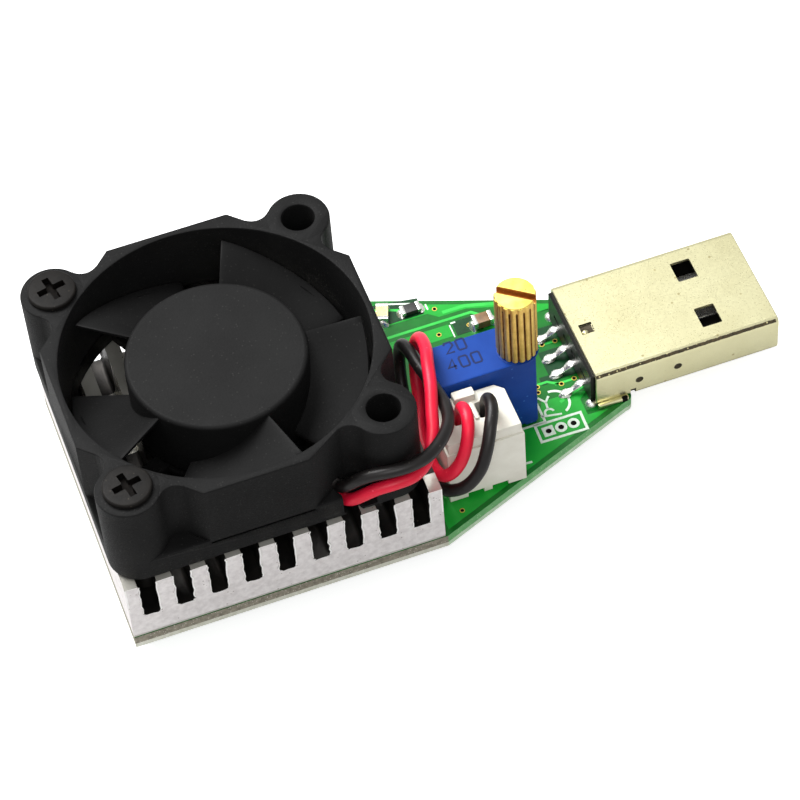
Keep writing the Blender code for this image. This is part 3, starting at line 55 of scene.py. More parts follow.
def gridFaces(rows, columns, wrapRows=False, wrapColumns=False):
    # quads of a rows x columns grid of points, joined round where a side wraps
    i = np.arange(rows if wrapRows else rows - 1)
    j = np.arange(columns if wrapColumns else columns - 1)
    a, b = np.meshgrid(i, j, indexing="ij")
    a, b = a.ravel(), b.ravel()
    a1, b1 = (a + 1) % rows, (b + 1) % columns
    return np.column_stack([a * columns + b, a1 * columns + b, a1 * columns + b1, a * columns + b1])


def insetLoop(loop, distance):
    # every corner moves along its mitre: the sum of both edge normals over one plus their dot product
    edge = np.roll(loop, -1, axis=0) - loop
    edge = edge / np.maximum(np.linalg.norm(edge, axis=1, keepdims=True), 1e-9)
    normal = np.column_stack([-edge[:, 1], edge[:, 0]])
    before = np.roll(normal, 1, axis=0)
    mitre = (normal + before) / np.maximum(1 + (normal * before).sum(axis=1, keepdims=True), 0.35)
    return loop + distance * mitre


def circle(x, y, radius, count=32, start=0.0):
    # x + r cos a, y + r sin a
    angle = np.radians(start) + np.linspace(0, 2 * np.pi, count, endpoint=False)
    return np.column_stack([x + radius * np.cos(angle), y + radius * np.sin(angle)])


def hole(x, y, radius, count=32):
    return circle(x, y, radius, count)[::-1]


def roundedRect(x0, x1, y0, y1, radius, steps=4):
    # quarter circles about the four inner corners, counterclockwise
    corners = [(x1 - radius, y1 - radius), (x0 + radius, y1 - radius),
               (x0 + radius, y0 + radius), (x1 - radius, y0 + radius)]
    arc = np.linspace(0, np.pi / 2, steps + 1)
    parts = [np.column_stack([cx + radius * np.cos(arc + k * np.pi / 2), cy + radius * np.sin(arc + k * np.pi / 2)])
             for k, (cx, cy) in enumerate(corners)]
    return np.vstack(parts)


def softLevels(bottom, top, edge, steps=2, lowEdge=None):
    # quarter-circle edges: inset e(1 - sin a) at height e(1 - cos a) from each end
    low = edge if lowEdge is None else lowEdge
    a = np.linspace(0, np.pi / 2, steps + 1)
    lower = [(bottom + low * (1 - math.cos(t)), low * (1 - math.sin(t))) for t in a] if low else [(bottom, 0.0)]
    upper = [(top - edge * (1 - math.cos(t)), edge * (1 - math.sin(t))) for t in a[::-1]] if edge else [(top, 0.0)]
    return lower + upper


def prism(loops, levels):
    # outlines, outer one counterclockwise and holes clockwise, carried up through (height, inset) levels and capped
    loops = [np.asarray(loop, float) for loop in loops]
    total = sum(len(loop) for loop in loops)
    rings = [np.vstack([insetLoop(loop, inset) for loop in loops]) for _, inset in levels]
    points = np.vstack([np.column_stack([ring, np.full(total, height)]) for ring, (height, _) in zip(rings, levels)])
    faces = []
    start = 0
    for loop in loops:
        low = start + np.arange(len(loop))
        after = start + (np.arange(len(loop)) + 1) % len(loop)
        for level in range(len(levels) - 1):
            shift = level * total
            faces.append(np.column_stack([low, after, after + total, low + total]) + shift)
        start += len(loop)
    for ring, shift, up in ((rings[0], 0, False), (rings[-1], (len(levels) - 1) * total, True)):
        flat, at = [], 0
        for loop in loops:
            flat.append([Vector((x, y, 0.0)) for x, y in ring[at:at + len(loop)]])
            at += len(loop)
        tri = np.array(tessellate_polygon(flat))
        a, b, c = ring[tri[:, 0]], ring[tri[:, 1]], ring[tri[:, 2]]
        area = (b[:, 0] - a[:, 0]) * (c[:, 1] - a[:, 1]) - (b[:, 1] - a[:, 1]) * (c[:, 0] - a[:, 0])
        flip = (area < 0) if up else (area > 0)
        tri[flip] = tri[flip][:, ::-1]
        faces.append(tri + shift)
    return points, faces


def lathe(profile, x=0.0, y=0.0, count=64, closed=False):
    # each (r, z) of the profile goes round to (x + r cos a, y + r sin a, z)
    profile = np.asarray(profile, float)
    angle = np.linspace(0, 2 * np.pi, count, endpoint=False)
    r, z = profile[:, 0], profile[:, 1]
    points = np.stack([x + np.outer(np.cos(angle), r), y + np.outer(np.sin(angle), r),
                       np.tile(z, (count, 1))], axis=-1).reshape(-1, 3)
    return points, [gridFaces(count, len(profile), True, closed)]


def loft(sections, capped=True):
    # closed sections in order along the piece, each joined to the next, with fans at both ends
    sections = np.asarray(sections, float)
    rows, columns = sections.shape[:2]
    points = sections.reshape(-1, 3)
    faces = [gridFaces(rows, columns, False, True)]
    if capped:
        ends = np.vstack([sections[0].mean(axis=0), sections[-1].mean(axis=0)])
        points = np.vstack([points, ends])
        k = np.arange(columns)
        k1 = (k + 1) % columns
        last = (rows - 1) * columns
        faces.append(np.column_stack([k1, k, np.full(columns, rows * columns)]))
        faces.append(np.column_stack([last + k, last + k1, np.full(columns, rows * columns + 1)]))
    return points, faces


def moved(shape, matrix):
    points, faces = shape
    m = np.array(matrix)
    return points @ m[:3, :3].T + m[:3, 3], faces


def shifted(shape, x=0.0, y=0.0, z=0.0):
    return shape[0] + np.array([x, y, z]), shape[1]


def block(x0, x1, y0, y1, z0, z1, radius=0.1, edge=0.06, steps=2):
    # rounded box: a rounded rectangle carried up with soft ends
    return prism([roundedRect(x0, x1, y0, y1, radius, 3)], softLevels(z0, z1, edge, steps))


def meshFrom(name, shapes, level="board"):
    points = toRow(np.vstack([shape[0] for shape in shapes]), level)
    arrays, base = [], 0
    for shapePoints, shapeFaces in shapes:
        arrays += [faces + base for faces in shapeFaces]
        base += len(shapePoints)
    sides = np.concatenate([np.full(len(a), a.shape[1]) for a in arrays])
    loops = np.concatenate([a.ravel() for a in arrays]).astype(np.int32)
    starts = np.concatenate([[0], np.cumsum(sides)[:-1]]).astype(np.int32)
    mesh = bpy.data.meshes.new(name)
    mesh.vertices.add(len(points))
    mesh.vertices.foreach_set("co", points.ravel())
    mesh.loops.add(len(loops))
    mesh.loops.foreach_set("vertex_index", loops)
    mesh.polygons.add(len(starts))
    mesh.polygons.foreach_set("loop_start", starts)
    mesh.update(calc_edges=True)
    mesh.validate()
    return mesh


def pickFinish(mesh, level, pick):
    # pick turns each face's centre (layout mm) and normal into the number of its material
    count = len(mesh.polygons)
    centres, normals = np.empty(count * 3), np.empty(count * 3)
    mesh.polygons.foreach_get("center", centres)
    mesh.polygons.foreach_get("normal", normals)
    chosen = pick(centres.reshape(-1, 3) / mm - axes[level], normals.reshape(-1, 3))
    mesh.polygons.foreach_set("material_index", np.asarray(chosen, np.int32))


def makePiece(name, shapes, material, body="base", sharp=32.0, turnOut=False, level="board", pick=None):
    mesh = meshFrom(name, shapes, level)
    work = bmesh.new()
    work.from_mesh(mesh)
    bmesh.ops.remove_doubles(work, verts=work.verts, dist=2e-7)
    if turnOut:
        bmesh.ops.recalc_face_normals(work, faces=work.faces)
    work.to_mesh(mesh)
    work.free()
    mesh.shade_smooth()
    mesh.set_sharp_from_angle(angle=math.radians(sharp))
    piece = bpy.data.objects.new(name, mesh)
    bpy.context.scene.collection.objects.link(piece)
    for one in (material if isinstance(material, list) else [material]):
        mesh.materials.append(one)
    if pick:
        pickFinish(mesh, level, pick)
    weights = piece.modifiers.new("evenShading", "WEIGHTED_NORMAL")
    weights.keep_sharp = True
    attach(piece, body)
    return piece


def cutAway(piece, cutters, level="board"):
    # each cutter is taken out of the piece and then thrown away
    for number, shape in enumerate(cutters):
        mesh = meshFrom("cutter", [shape], level)
        tool = bpy.data.objects.new("cutter", mesh)
        bpy.context.scene.collection.objects.link(tool)
        cut = piece.modifiers.new("cut", "BOOLEAN")
        cut.operation = "DIFFERENCE"
        cut.solver = "EXACT"
        cut.use_self = True
        cut.object = tool
        piece.modifiers.move(len(piece.modifiers) - 1, 0)
        weights = piece.modifiers["evenShading"]
        weights.show_viewport = False
        bpy.context.view_layer.update()
        graph = bpy.context.evaluated_depsgraph_get()
        fresh = bpy.data.meshes.new_from_object(piece.evaluated_get(graph))
        piece.modifiers.remove(cut)
        weights.show_viewport = True
        old = piece.data
        piece.data = fresh
        bpy.data.meshes.remove(old)
        bpy.data.objects.remove(tool)
        bpy.data.meshes.remove(mesh)
    fresh.name = piece.name
    fresh.set_sharp_from_angle(angle=math.radians(32))


def turned(shape, degrees):
    return moved(shape, Matrix.Rotation(math.radians(degrees), 4, "Z"))


def dome(x, y, z, halfX, halfY, height, turn=0.0, power=0.6, rings=8, count=28):
    # blob on a board: height h(1 - rho^2)^p over an ellipse, rho running from the centre to the rim
    rho = np.sin(np.linspace(0, np.pi / 2, rings + 1))
    angle = np.linspace(0, 2 * np.pi, count, endpoint=False)
    p, a = np.meshgrid(rho, angle, indexing="ij")
    u, v = halfX * p * np.cos(a), halfY * p * np.sin(a)
    c, s = math.cos(math.radians(turn)), math.sin(math.radians(turn))
    top = np.column_stack([(x + u * c - v * s).ravel(), (y + u * s + v * c).ravel(),
                           (z + height * (1 - p ** 2) ** power).ravel()])
    return top, [gridFaces(len(rho), len(angle), False, True)]


def ribbon(points, width):
    # outline of a flat line of one width: each point moves half the width along its mitre to either side
    p = np.asarray(points, float)
    step = np.diff(p, axis=0)
    step = step / np.linalg.norm(step, axis=1, keepdims=True)
    normal = np.column_stack([-step[:, 1], step[:, 0]])
    before, after = np.vstack([normal[:1], normal]), np.vstack([normal, normal[-1:]])
    mitre = (before + after) / np.maximum(1 + (before * after).sum(axis=1, keepdims=True), 0.5)
    return np.vstack([p - mitre * width / 2, (p + mitre * width / 2)[::-1]])


def plate(outline, bottom, top, edge=0.015):
    return prism([outline], [(bottom, 0.0), (top - edge, 0.0), (top, edge)])


# material helpers

def sRgb(red, green, blue):
    # display values 0..255 to linear colour
    c = np.array([red, green, blue]) / 255.0
    linear = np.where(c <= 0.04045, c / 12.92, ((c + 0.055) / 1.055) ** 2.4)
    return (*[float(v) for v in linear], 1.0)


def grainGroup():
    # broad mottle, fine grain and sparse specks on object coordinates, each 0..1
    group = bpy.data.node_groups.new("surfaceGrain", "ShaderNodeTree")
    for name, value in (("Mottle scale", 300.0), ("Grain scale", 6000.0), ("Speck scale", 3000.0), ("Speck share", 0.0)):
        socket = group.interface.new_socket(name, in_out="INPUT", socket_type="NodeSocketFloat")
        socket.default_value = value
    for name in ("Mottle", "Grain", "Speck"):
        group.interface.new_socket(name, in_out="OUTPUT", socket_type="NodeSocketFloat")
    nodes, links = group.nodes, group.links
    enter, leave = nodes.new("NodeGroupInput"), nodes.new("NodeGroupOutput")
    place = nodes.new("ShaderNodeTexCoord")
    mottle, grain, speck = (nodes.new("ShaderNodeTexNoise"), nodes.new("ShaderNodeTexNoise"),
                            nodes.new("ShaderNodeTexVoronoi"))
    mottle.inputs["Detail"].default_value = 4.0
    grain.inputs["Detail"].default_value = 3.0
    for node, socket in ((mottle, "Mottle scale"), (grain, "Grain scale"), (speck, "Speck scale")):
        links.new(place.outputs["Object"], node.inputs["Vector"])
        links.new(enter.outputs[socket], node.inputs["Scale"])
    spread = nodes.new("ShaderNodeMapRange")
    spread.inputs["From Min"].default_value = 0.32
    spread.inputs["From Max"].default_value = 0.68
    links.new(mottle.outputs["Fac"], spread.inputs["Value"])
    links.new(spread.outputs["Result"], leave.inputs["Mottle"])
    links.new(grain.outputs["Fac"], leave.inputs["Grain"])
    part = nodes.new("ShaderNodeSeparateColor")
    links.new(speck.outputs["Color"], part.inputs["Color"])
    chosen = nodes.new("ShaderNodeMath")
    chosen.operation = "LESS_THAN"
    links.new(part.outputs["Red"], chosen.inputs[0])
    links.new(enter.outputs["Speck share"], chosen.inputs[1])
    near = nodes.new("ShaderNodeMapRange")
    near.inputs["From Min"].default_value = 0.34
    near.inputs["From Max"].default_value = 0.18
    links.new(speck.outputs["Distance"], near.inputs["Value"])
    both = nodes.new("ShaderNodeMath")
    both.operation = "MULTIPLY"
    links.new(chosen.outputs[0], both.inputs[0])
    links.new(near.outputs["Result"], both.inputs[1])
    links.new(both.outputs[0], leave.inputs["Speck"])
    return group


surfaceGrain = grainGroup()


def finish(name, colour, second=None, speckColour=None, mottleSize=2.0, grainSize=0.15, speckSize=0.3, speckShare=0.0,
           roughness=(0.4, 0.5), bump=0.1, bumpDepth=0.01, metallic=0.0, coat=0.0, coatRoughness=0.1, ior=1.5,
           specular=0.5, mottleBump=0.0):
    # one procedural material: colour wanders between two tones, specks lie over it, grain drives roughness and bump
    material = bpy.data.materials.new(name)
    material.use_nodes = True
    nodes, links = material.node_tree.nodes, material.node_tree.links
    shader = nodes["Principled BSDF"]
    grain = nodes.new("ShaderNodeGroup")
    grain.node_tree = surfaceGrain
    grain.inputs["Mottle scale"].default_value = 1000.0 / mottleSize
    grain.inputs["Grain scale"].default_value = 1000.0 / grainSize
    grain.inputs["Speck scale"].default_value = 1000.0 / speckSize
    grain.inputs["Speck share"].default_value = speckShare
    mix = nodes.new("ShaderNodeMix")
    mix.data_type = "RGBA"
    mix.inputs["A"].default_value = colour
    mix.inputs["B"].default_value = second or tuple([v * 0.8 for v in colour[:3]] + [1.0])
    links.new(grain.outputs["Mottle"], mix.inputs["Factor"])
    over = nodes.new("ShaderNodeMix")
    over.data_type = "RGBA"
    over.inputs["B"].default_value = speckColour or colour
    links.new(mix.outputs["Result"], over.inputs["A"])
    links.new(grain.outputs["Speck"], over.inputs["Factor"])
    links.new(over.outputs["Result"], shader.inputs["Base Color"])
    rough = nodes.new("ShaderNodeMapRange")
    rough.inputs["From Min"].default_value = 0.3
    rough.inputs["From Max"].default_value = 0.7
    rough.inputs["To Min"].default_value = roughness[0]
    rough.inputs["To Max"].default_value = roughness[1]
    links.new(grain.outputs["Grain"], rough.inputs["Value"])
    links.new(rough.outputs["Result"], shader.inputs["Roughness"])
    height = nodes.new("ShaderNodeMath")
    height.operation = "MULTIPLY_ADD"
    height.inputs[1].default_value = mottleBump
    links.new(grain.outputs["Mottle"], height.inputs[0])
    links.new(grain.outputs["Grain"], height.inputs[2])
    relief = nodes.new("ShaderNodeBump")
    relief.inputs["Strength"].default_value = bump
    relief.inputs["Distance"].default_value = bumpDepth * mm
    links.new(height.outputs[0], relief.inputs["Height"])
    links.new(relief.outputs["Normal"], shader.inputs["Normal"])
    shader.inputs["Metallic"].default_value = metallic
    shader.inputs["Coat Weight"].default_value = coat
    shader.inputs["Coat Roughness"].default_value = coatRoughness
    shader.inputs["IOR"].default_value = ior
    shader.inputs["Specular IOR Level"].default_value = specular
    return material




fanPlastic = finish("fanPlastic", sRgb(24, 24, 24), sRgb(18, 18, 18), sRgb(40, 40, 39), mottleSize=5.0, grainSize=0.14,
                    speckSize=0.24, speckShare=0.14, roughness=(0.5, 0.68), bump=0.8, bumpDepth=0.035, specular=0.075)
bladePlastic = finish("bladePlastic", sRgb(25, 25, 25), sRgb(20, 20, 20), sRgb(38, 38, 37), mottleSize=6.0,
                      grainSize=0.16, speckSize=0.26, speckShare=0.1, roughness=(0.5, 0.64), bump=0.6, bumpDepth=0.03,
                      specular=0.07)
blackOxide = finish("blackOxide", sRgb(22, 20, 18), sRgb(14, 13, 12), sRgb(54, 50, 44), mottleSize=0.9, grainSize=0.12,
                    speckSize=0.25, speckShare=0.04, roughness=(0.42, 0.56), bump=0.5, bumpDepth=0.015, specular=0.08)
sawnAluminium = finish("sawnAluminium", sRgb(230, 226, 225), sRgb(210, 205, 204), sRgb(158, 148, 144), mottleSize=0.55,
                       grainSize=0.08, speckSize=0.26, speckShare=0.05, roughness=(0.5, 0.66), bump=0.3,
                       bumpDepth=0.012, metallic=0.25)
# painted shade: near-black metal for the grooves' mouths and the upward faces under the fan, where shade falls
grooveShadedMetal = finish("grooveShadedMetal", sRgb(44, 41, 38), sRgb(24, 23, 22), sRgb(96, 88, 76), mottleSize=1.8, grainSize=0.12,
                     speckSize=0.5, speckShare=0.04, roughness=(0.34, 0.5), bump=0.3, bumpDepth=0.02, metallic=0.7)
# painted light: near-white metal for the fins' tops and the walls deep in the grooves, for the light that comes in
# through the fan and the grooves' open ends
finTopLitMetal = finish("finTopLitMetal", sRgb(244, 242, 232), sRgb(232, 229, 218), sRgb(176, 168, 150), mottleSize=1.6,
                     grainSize=0.1, speckSize=0.3, speckShare=0.02, roughness=(0.14, 0.26), bump=0.1, bumpDepth=0.008,
                     metallic=0.7)
# painted highlight: a whiter colour for the torn burrs at the sawn ends, for the light their edges catch
burrHighlightMetal = finish("burrHighlightMetal", sRgb(250, 249, 247), sRgb(236, 234, 230), sRgb(176, 170, 162), mottleSize=0.8,
                   grainSize=0.08, speckSize=0.3, speckShare=0.05, roughness=(0.35, 0.5), bump=0.3, bumpDepth=0.01,
                   metallic=0.1)
greenMask = finish("greenMask", sRgb(6, 112, 30), sRgb(4, 92, 24), mottleSize=2.6, grainSize=0.3,
                    roughness=(0.3, 0.42), bump=0.12, bumpDepth=0.01, specular=0.25, coat=0.06, coatRoughness=0.15)
greenCopper = finish("greenCopper", sRgb(26, 164, 50), sRgb(16, 146, 42), mottleSize=2.8, grainSize=0.25,
                    roughness=(0.3, 0.42), bump=0.12, bumpDepth=0.01, specular=0.25, coat=0.06, coatRoughness=0.15)
greenBright = finish("greenBright", sRgb(58, 196, 78), sRgb(46, 180, 68), mottleSize=1.5, grainSize=0.25,
                    roughness=(0.3, 0.42), bump=0.12, bumpDepth=0.01, specular=0.25, coat=0.06, coatRoughness=0.15)
greenDeep = finish("greenDeep", sRgb(5, 62, 26), sRgb(3, 48, 20), mottleSize=1.5, grainSize=0.25,
                    roughness=(0.3, 0.42), bump=0.12, bumpDepth=0.01, specular=0.25, coat=0.06, coatRoughness=0.15)
laminateEdge = finish("laminateEdge", sRgb(112, 178, 112), sRgb(92, 158, 96), sRgb(190, 216, 176), mottleSize=0.7,
                      grainSize=0.08, speckSize=0.16, speckShare=0.2, roughness=(0.6, 0.8), bump=0.5, bumpDepth=0.03)
laminatePale = finish("laminatePale", sRgb(206, 226, 198), sRgb(184, 210, 178), sRgb(232, 240, 226), mottleSize=0.7,
                      grainSize=0.08, speckSize=0.16, speckShare=0.2, roughness=(0.6, 0.8), bump=0.4, bumpDepth=0.02)
oliveEdge = finish("oliveEdge", sRgb(150, 144, 128), sRgb(112, 106, 92), sRgb(206, 202, 190), mottleSize=0.45,
                   grainSize=0.08, speckSize=0.18, speckShare=0.35, roughness=(0.65, 0.82), bump=0.6, bumpDepth=0.03)
olivePale = finish("olivePale", sRgb(222, 222, 210), sRgb(200, 200, 182), sRgb(236, 236, 228), mottleSize=0.6,
                   grainSize=0.08, speckSize=0.18, speckShare=0.2, roughness=(0.65, 0.82), bump=0.4, bumpDepth=0.02)
inkWhite = finish("inkWhite", sRgb(226, 236, 224), sRgb(200, 218, 200), mottleSize=0.35, grainSize=0.08,
                  roughness=(0.5, 0.65), bump=0.2, bumpDepth=0.005)
solderTin = finish("solderTin", sRgb(238, 237, 232), sRgb(214, 213, 208), mottleSize=0.5, grainSize=0.1,
                   roughness=(0.2, 0.34), bump=0.15, bumpDepth=0.008, metallic=0.9)
goldRing = finish("goldRing", sRgb(222, 196, 96), sRgb(190, 160, 66), mottleSize=0.3, grainSize=0.08,
                  roughness=(0.3, 0.45), bump=0.15, bumpDepth=0.006, metallic=0.5)
trimmerBlue = finish("trimmerBlue", sRgb(20, 64, 146), sRgb(14, 56, 134), sRgb(52, 96, 176), mottleSize=2.2,
                     grainSize=0.16, speckSize=0.35, speckShare=0.03, roughness=(0.42, 0.54), bump=0.25, bumpDepth=0.012,
                     specular=0.14)
brassBright = finish("brassBright", sRgb(226, 190, 104), sRgb(206, 168, 84), sRgb(240, 212, 132), mottleSize=0.7,
                     grainSize=0.06, speckSize=0.2, speckShare=0.05, roughness=(0.36, 0.5), bump=0.25, bumpDepth=0.008,
                     metallic=0.85)
# painted highlight: a lighter, less metallic brass for the knob's end face, where the light falls
brassFaceHighlight = finish("brassFaceHighlight", sRgb(238, 222, 118), sRgb(226, 196, 90), sRgb(206, 156, 58), mottleSize=0.8,
                   grainSize=0.06, speckSize=0.25, speckShare=0.06, roughness=(0.5, 0.64), bump=0.3, bumpDepth=0.01,
                   metallic=0.35, specular=0.25)
# painted shade: darker brass in the knob's grooves, for shade and dark reflections
brassGrooveShade = finish("brassGrooveShade", sRgb(150, 104, 46), sRgb(104, 68, 28), sRgb(186, 142, 70), mottleSize=0.5, grainSize=0.06,
                   speckSize=0.2, speckShare=0.1, roughness=(0.34, 0.5), bump=0.3, bumpDepth=0.01, metallic=0.6)
# painted shade: darker, browner brass in the knob's slot
brassSlotShade = finish("brassSlotShade", sRgb(196, 128, 48), sRgb(168, 100, 32), sRgb(214, 160, 80), mottleSize=0.5, grainSize=0.06,
                   speckSize=0.2, speckShare=0.1, roughness=(0.45, 0.6), bump=0.3, bumpDepth=0.01, metallic=0.2)
nylonWhite = finish("nylonWhite", sRgb(230, 228, 216), sRgb(220, 217, 204), mottleSize=1.6, grainSize=0.15,
                    roughness=(0.36, 0.5), bump=0.15, bumpDepth=0.01, specular=0.35)
# painted shade: near-black for holes, wells, recesses and gaps where only shade falls
paintedShade = finish("paintedShade", sRgb(16, 13, 11), sRgb(9, 8, 7), mottleSize=0.5, grainSize=0.1,
                    roughness=(0.6, 0.8), bump=0.1, bumpDepth=0.01, specular=0.05)
shellPlating = finish("shellPlating", sRgb(216, 212, 172), sRgb(206, 201, 160), sRgb(176, 166, 124), mottleSize=5.0,
                      grainSize=0.12, speckSize=0.5, speckShare=0.03, roughness=(0.26, 0.38), bump=0.12, bumpDepth=0.006,
                      metallic=1.0, mottleBump=0.3)
# painted shade: dark metal for the shell's inner walls, the far walls of the dent and the rings of the dimples
shellShade = finish("shellShade", sRgb(66, 60, 46), sRgb(42, 38, 30), mottleSize=1.5, grainSize=0.12,
                     roughness=(0.4, 0.55), bump=0.1, bumpDepth=0.006, metallic=0.8)
shellSeam = finish("shellSeam", sRgb(78, 66, 40), sRgb(40, 34, 20), sRgb(214, 204, 150), mottleSize=0.3, grainSize=0.07,
                   speckSize=0.3, speckShare=0.34, roughness=(0.45, 0.6), bump=0.6, bumpDepth=0.02, metallic=0.3)
printedInk = finish("printedInk", sRgb(16, 34, 84), sRgb(12, 28, 70), mottleSize=0.4, grainSize=0.1,
                    roughness=(0.5, 0.65), bump=0.1, bumpDepth=0.005, specular=0.2)
blackNylon = finish("blackNylon", sRgb(18, 18, 16), sRgb(11, 11, 11), mottleSize=1.5, grainSize=0.15,
                    roughness=(0.3, 0.42), bump=0.15, bumpDepth=0.01, specular=0.15)
wireRed = finish("wireRed", sRgb(228, 26, 60), sRgb(214, 20, 50), sRgb(240, 70, 96), mottleSize=2.0, grainSize=0.2,
                 speckSize=0.3, speckShare=0.03, roughness=(0.36, 0.48), bump=0.15, bumpDepth=0.01, coat=0.04,
                 coatRoughness=0.25, specular=0.3)
wireBlack = finish("wireBlack", sRgb(26, 23, 22), sRgb(17, 15, 15), sRgb(80, 76, 70), mottleSize=2.0, grainSize=0.2,
                   speckSize=0.3, speckShare=0.03, roughness=(0.34, 0.46), bump=0.15, bumpDepth=0.01, coat=0.05,
                   coatRoughness=0.25, specular=0.25)
chipBlack = finish("chipBlack", sRgb(40, 38, 38), sRgb(30, 29, 29), sRgb(70, 68, 66), mottleSize=0.8, grainSize=0.12,
                   speckSize=0.2, speckShare=0.05, roughness=(0.5, 0.68), bump=0.3, bumpDepth=0.01)
chipBrown = finish("chipBrown", sRgb(132, 100, 66), sRgb(108, 80, 52), mottleSize=0.5, grainSize=0.1,
                   roughness=(0.45, 0.6), bump=0.2, bumpDepth=0.01)
ledCream = finish("ledCream", sRgb(238, 230, 176), sRgb(222, 206, 140), sRgb(250, 248, 220), mottleSize=0.5,
                  grainSize=0.12, speckSize=0.3, speckShare=0.1, roughness=(0.25, 0.4), bump=0.1, bumpDepth=0.01, coat=0.3)
steelPlain = finish("steelPlain", sRgb(168, 168, 166), sRgb(146, 146, 146), mottleSize=1.5, grainSize=0.12,
                    roughness=(0.3, 0.42), bump=0.15, bumpDepth=0.01, metallic=1.0)
copperWire = finish("copperWire", sRgb(184, 98, 52), sRgb(160, 80, 40), mottleSize=0.6, grainSize=0.1,
                    roughness=(0.3, 0.45), bump=0.3, bumpDepth=0.02, metallic=0.9)
greyPaste = finish("greyPaste", sRgb(206, 204, 196), sRgb(188, 186, 178), mottleSize=1.0, grainSize=0.15,
                   roughness=(0.6, 0.75), bump=0.3, bumpDepth=0.02)
print("materials made")


# camera at the photograph's place

camera = {"focal": 3440.8, "azimuth": 15.529, "elevation": 52.730, "roll": -5.192, "across": 15.859, "up": 5.745,
          "distance": 326.19, "boardTop": 1.6}


def setCamera():
    # looks along d from the point tx r + ty u - D d, with r and u turned about d by the roll
    az, el, roll = (math.radians(camera[key]) for key in ("azimuth", "elevation", "roll"))
    d = np.array([math.sin(az) * math.cos(el), math.cos(az) * math.cos(el), -math.sin(el)])
    right = np.array([math.cos(az), -math.sin(az), 0.0])
    above = np.cross(right, d)
    r = math.cos(roll) * right + math.sin(roll) * above
    u = -math.sin(roll) * right + math.cos(roll) * above
    spot = camera["across"] * r + camera["up"] * u - camera["distance"] * d
    spot = toRow(spot + np.array([0.0, 0.0, camera["boardTop"]]), "fan")
    eye = bpy.data.objects.new("camera", bpy.data.cameras.new("camera"))
    bpy.context.scene.collection.objects.link(eye)
    eye.matrix_world = Matrix(((r[0], u[0], -d[0], spot[0]), (r[1], u[1], -d[1], spot[1]),
                               (r[2], u[2], -d[2], spot[2]), (0, 0, 0, 1)))
    eye.data.sensor_width = 36.0
    eye.data.lens = camera["focal"] / 800 * 36.0
    eye.data.clip_start = 0.01
    eye.data.clip_end = 10.0
    bpy.context.scene.camera = eye


setCamera()
print("camera set")


# fan wires: the route's points in metres from the fan's axis and the board's underside, as in the part

wires = {"diameter": 1.25, "drawn": 1.215, "steps": 5, "sides": 7, "from": (-52.45, 0.68, -3.05)}
redRoute = (
    (0.00203, -0.00547, 0.01003), (0.00348, -0.00833, 0.01003), (0.00439, -0.01011, 0.01003),
    (0.00583, -0.01162, 0.01003), (0.00638, -0.01252, 0.01003), (0.00680, -0.01334, 0.01007),
    (0.00722, -0.01410, 0.01038), (0.00780, -0.01475, 0.01105), (0.00860, -0.01522, 0.01185),
    (0.00975, -0.01552, 0.01248), (0.01150, -0.01575, 0.01278), (0.01330, -0.01556, 0.01277),
    (0.01501, -0.01441, 0.01290), (0.01627, -0.01234, 0.01333), (0.01702, -0.01013, 0.01400),
    (0.01777, -0.00781, 0.01468), (0.01833, -0.00549, 0.01475), (0.01889, -0.00335, 0.01427),
    (0.01909, -0.00123, 0.01315), (0.01895, -0.00001, 0.01127), (0.01867, -0.00026, 0.00925),
    (0.01826, -0.00160, 0.00763), (0.01781, -0.00368, 0.00650), (0.01707, -0.00566, 0.00588),
    (0.01667, -0.00754, 0.00565), (0.01665, -0.00942, 0.00568), (0.01672, -0.01110, 0.00605),
    (0.01702, -0.01249, 0.00688), (0.01769, -0.01327, 0.00815), (0.01855, -0.01340, 0.00973),
    (0.01930, -0.01283, 0.01120), (0.01982, -0.01193, 0.01225), (0.02010, -0.01088, 0.01262),
    (0.02015, -0.01001, 0.01245), (0.02015, -0.00933, 0.01190), (0.02015, -0.00895, 0.01105),
    (0.02015, -0.00888, 0.01000), (0.02015, -0.00888, 0.00790),
)
blackRoute = (
    (0.00323, -0.00486, 0.01003), (0.00405, -0.00646, 0.01003), (0.00470, -0.00772, 0.01012),
    (0.00520, -0.00880, 0.01045), (0.00562, -0.00995, 0.01105), (0.00592, -0.01140, 0.01137),
    (0.00640, -0.01255, 0.01140), (0.00675, -0.01325, 0.01165), (0.00710, -0.01390, 0.01225),
    (0.00760, -0.01442, 0.01305), (0.00840, -0.01482, 0.01380), (0.00960, -0.01520, 0.01435),
    (0.01120, -0.01562, 0.01460), (0.01300, -0.01570, 0.01465), (0.01490, -0.01518, 0.01458),
    (0.01661, -0.01387, 0.01440), (0.01796, -0.01195, 0.01403), (0.01847, -0.00973, 0.01351),
    (0.01842, -0.00752, 0.01304), (0.01818, -0.00550, 0.01281), (0.01793, -0.00368, 0.01269),
    (0.01779, -0.00192, 0.01242), (0.01764, -0.00025, 0.01170), (0.01755, 0.00067, 0.01017),
    (0.01735, 0.00059, 0.00825), (0.01705, -0.00060, 0.00663), (0.01678, -0.00258, 0.00540),
    (0.01668, -0.00506, 0.00453), (0.01667, -0.00775, 0.00411), (0.01669, -0.01003, 0.00414),
    (0.01676, -0.01196, 0.00466), (0.01726, -0.01348, 0.00569), (0.01854, -0.01453, 0.00717),
    (0.01989, -0.01461, 0.00905), (0.02085, -0.01395, 0.01092), (0.02165, -0.01278, 0.01225),
    (0.02230, -0.01153, 0.01275), (0.02260, -0.01053, 0.01277), (0.02265, -0.00968, 0.01240),
    (0.02265, -0.00913, 0.01165), (0.02265, -0.00890, 0.01080), (0.02265, -0.00888, 0.00980),
    (0.02265, -0.00888, 0.00790),
)


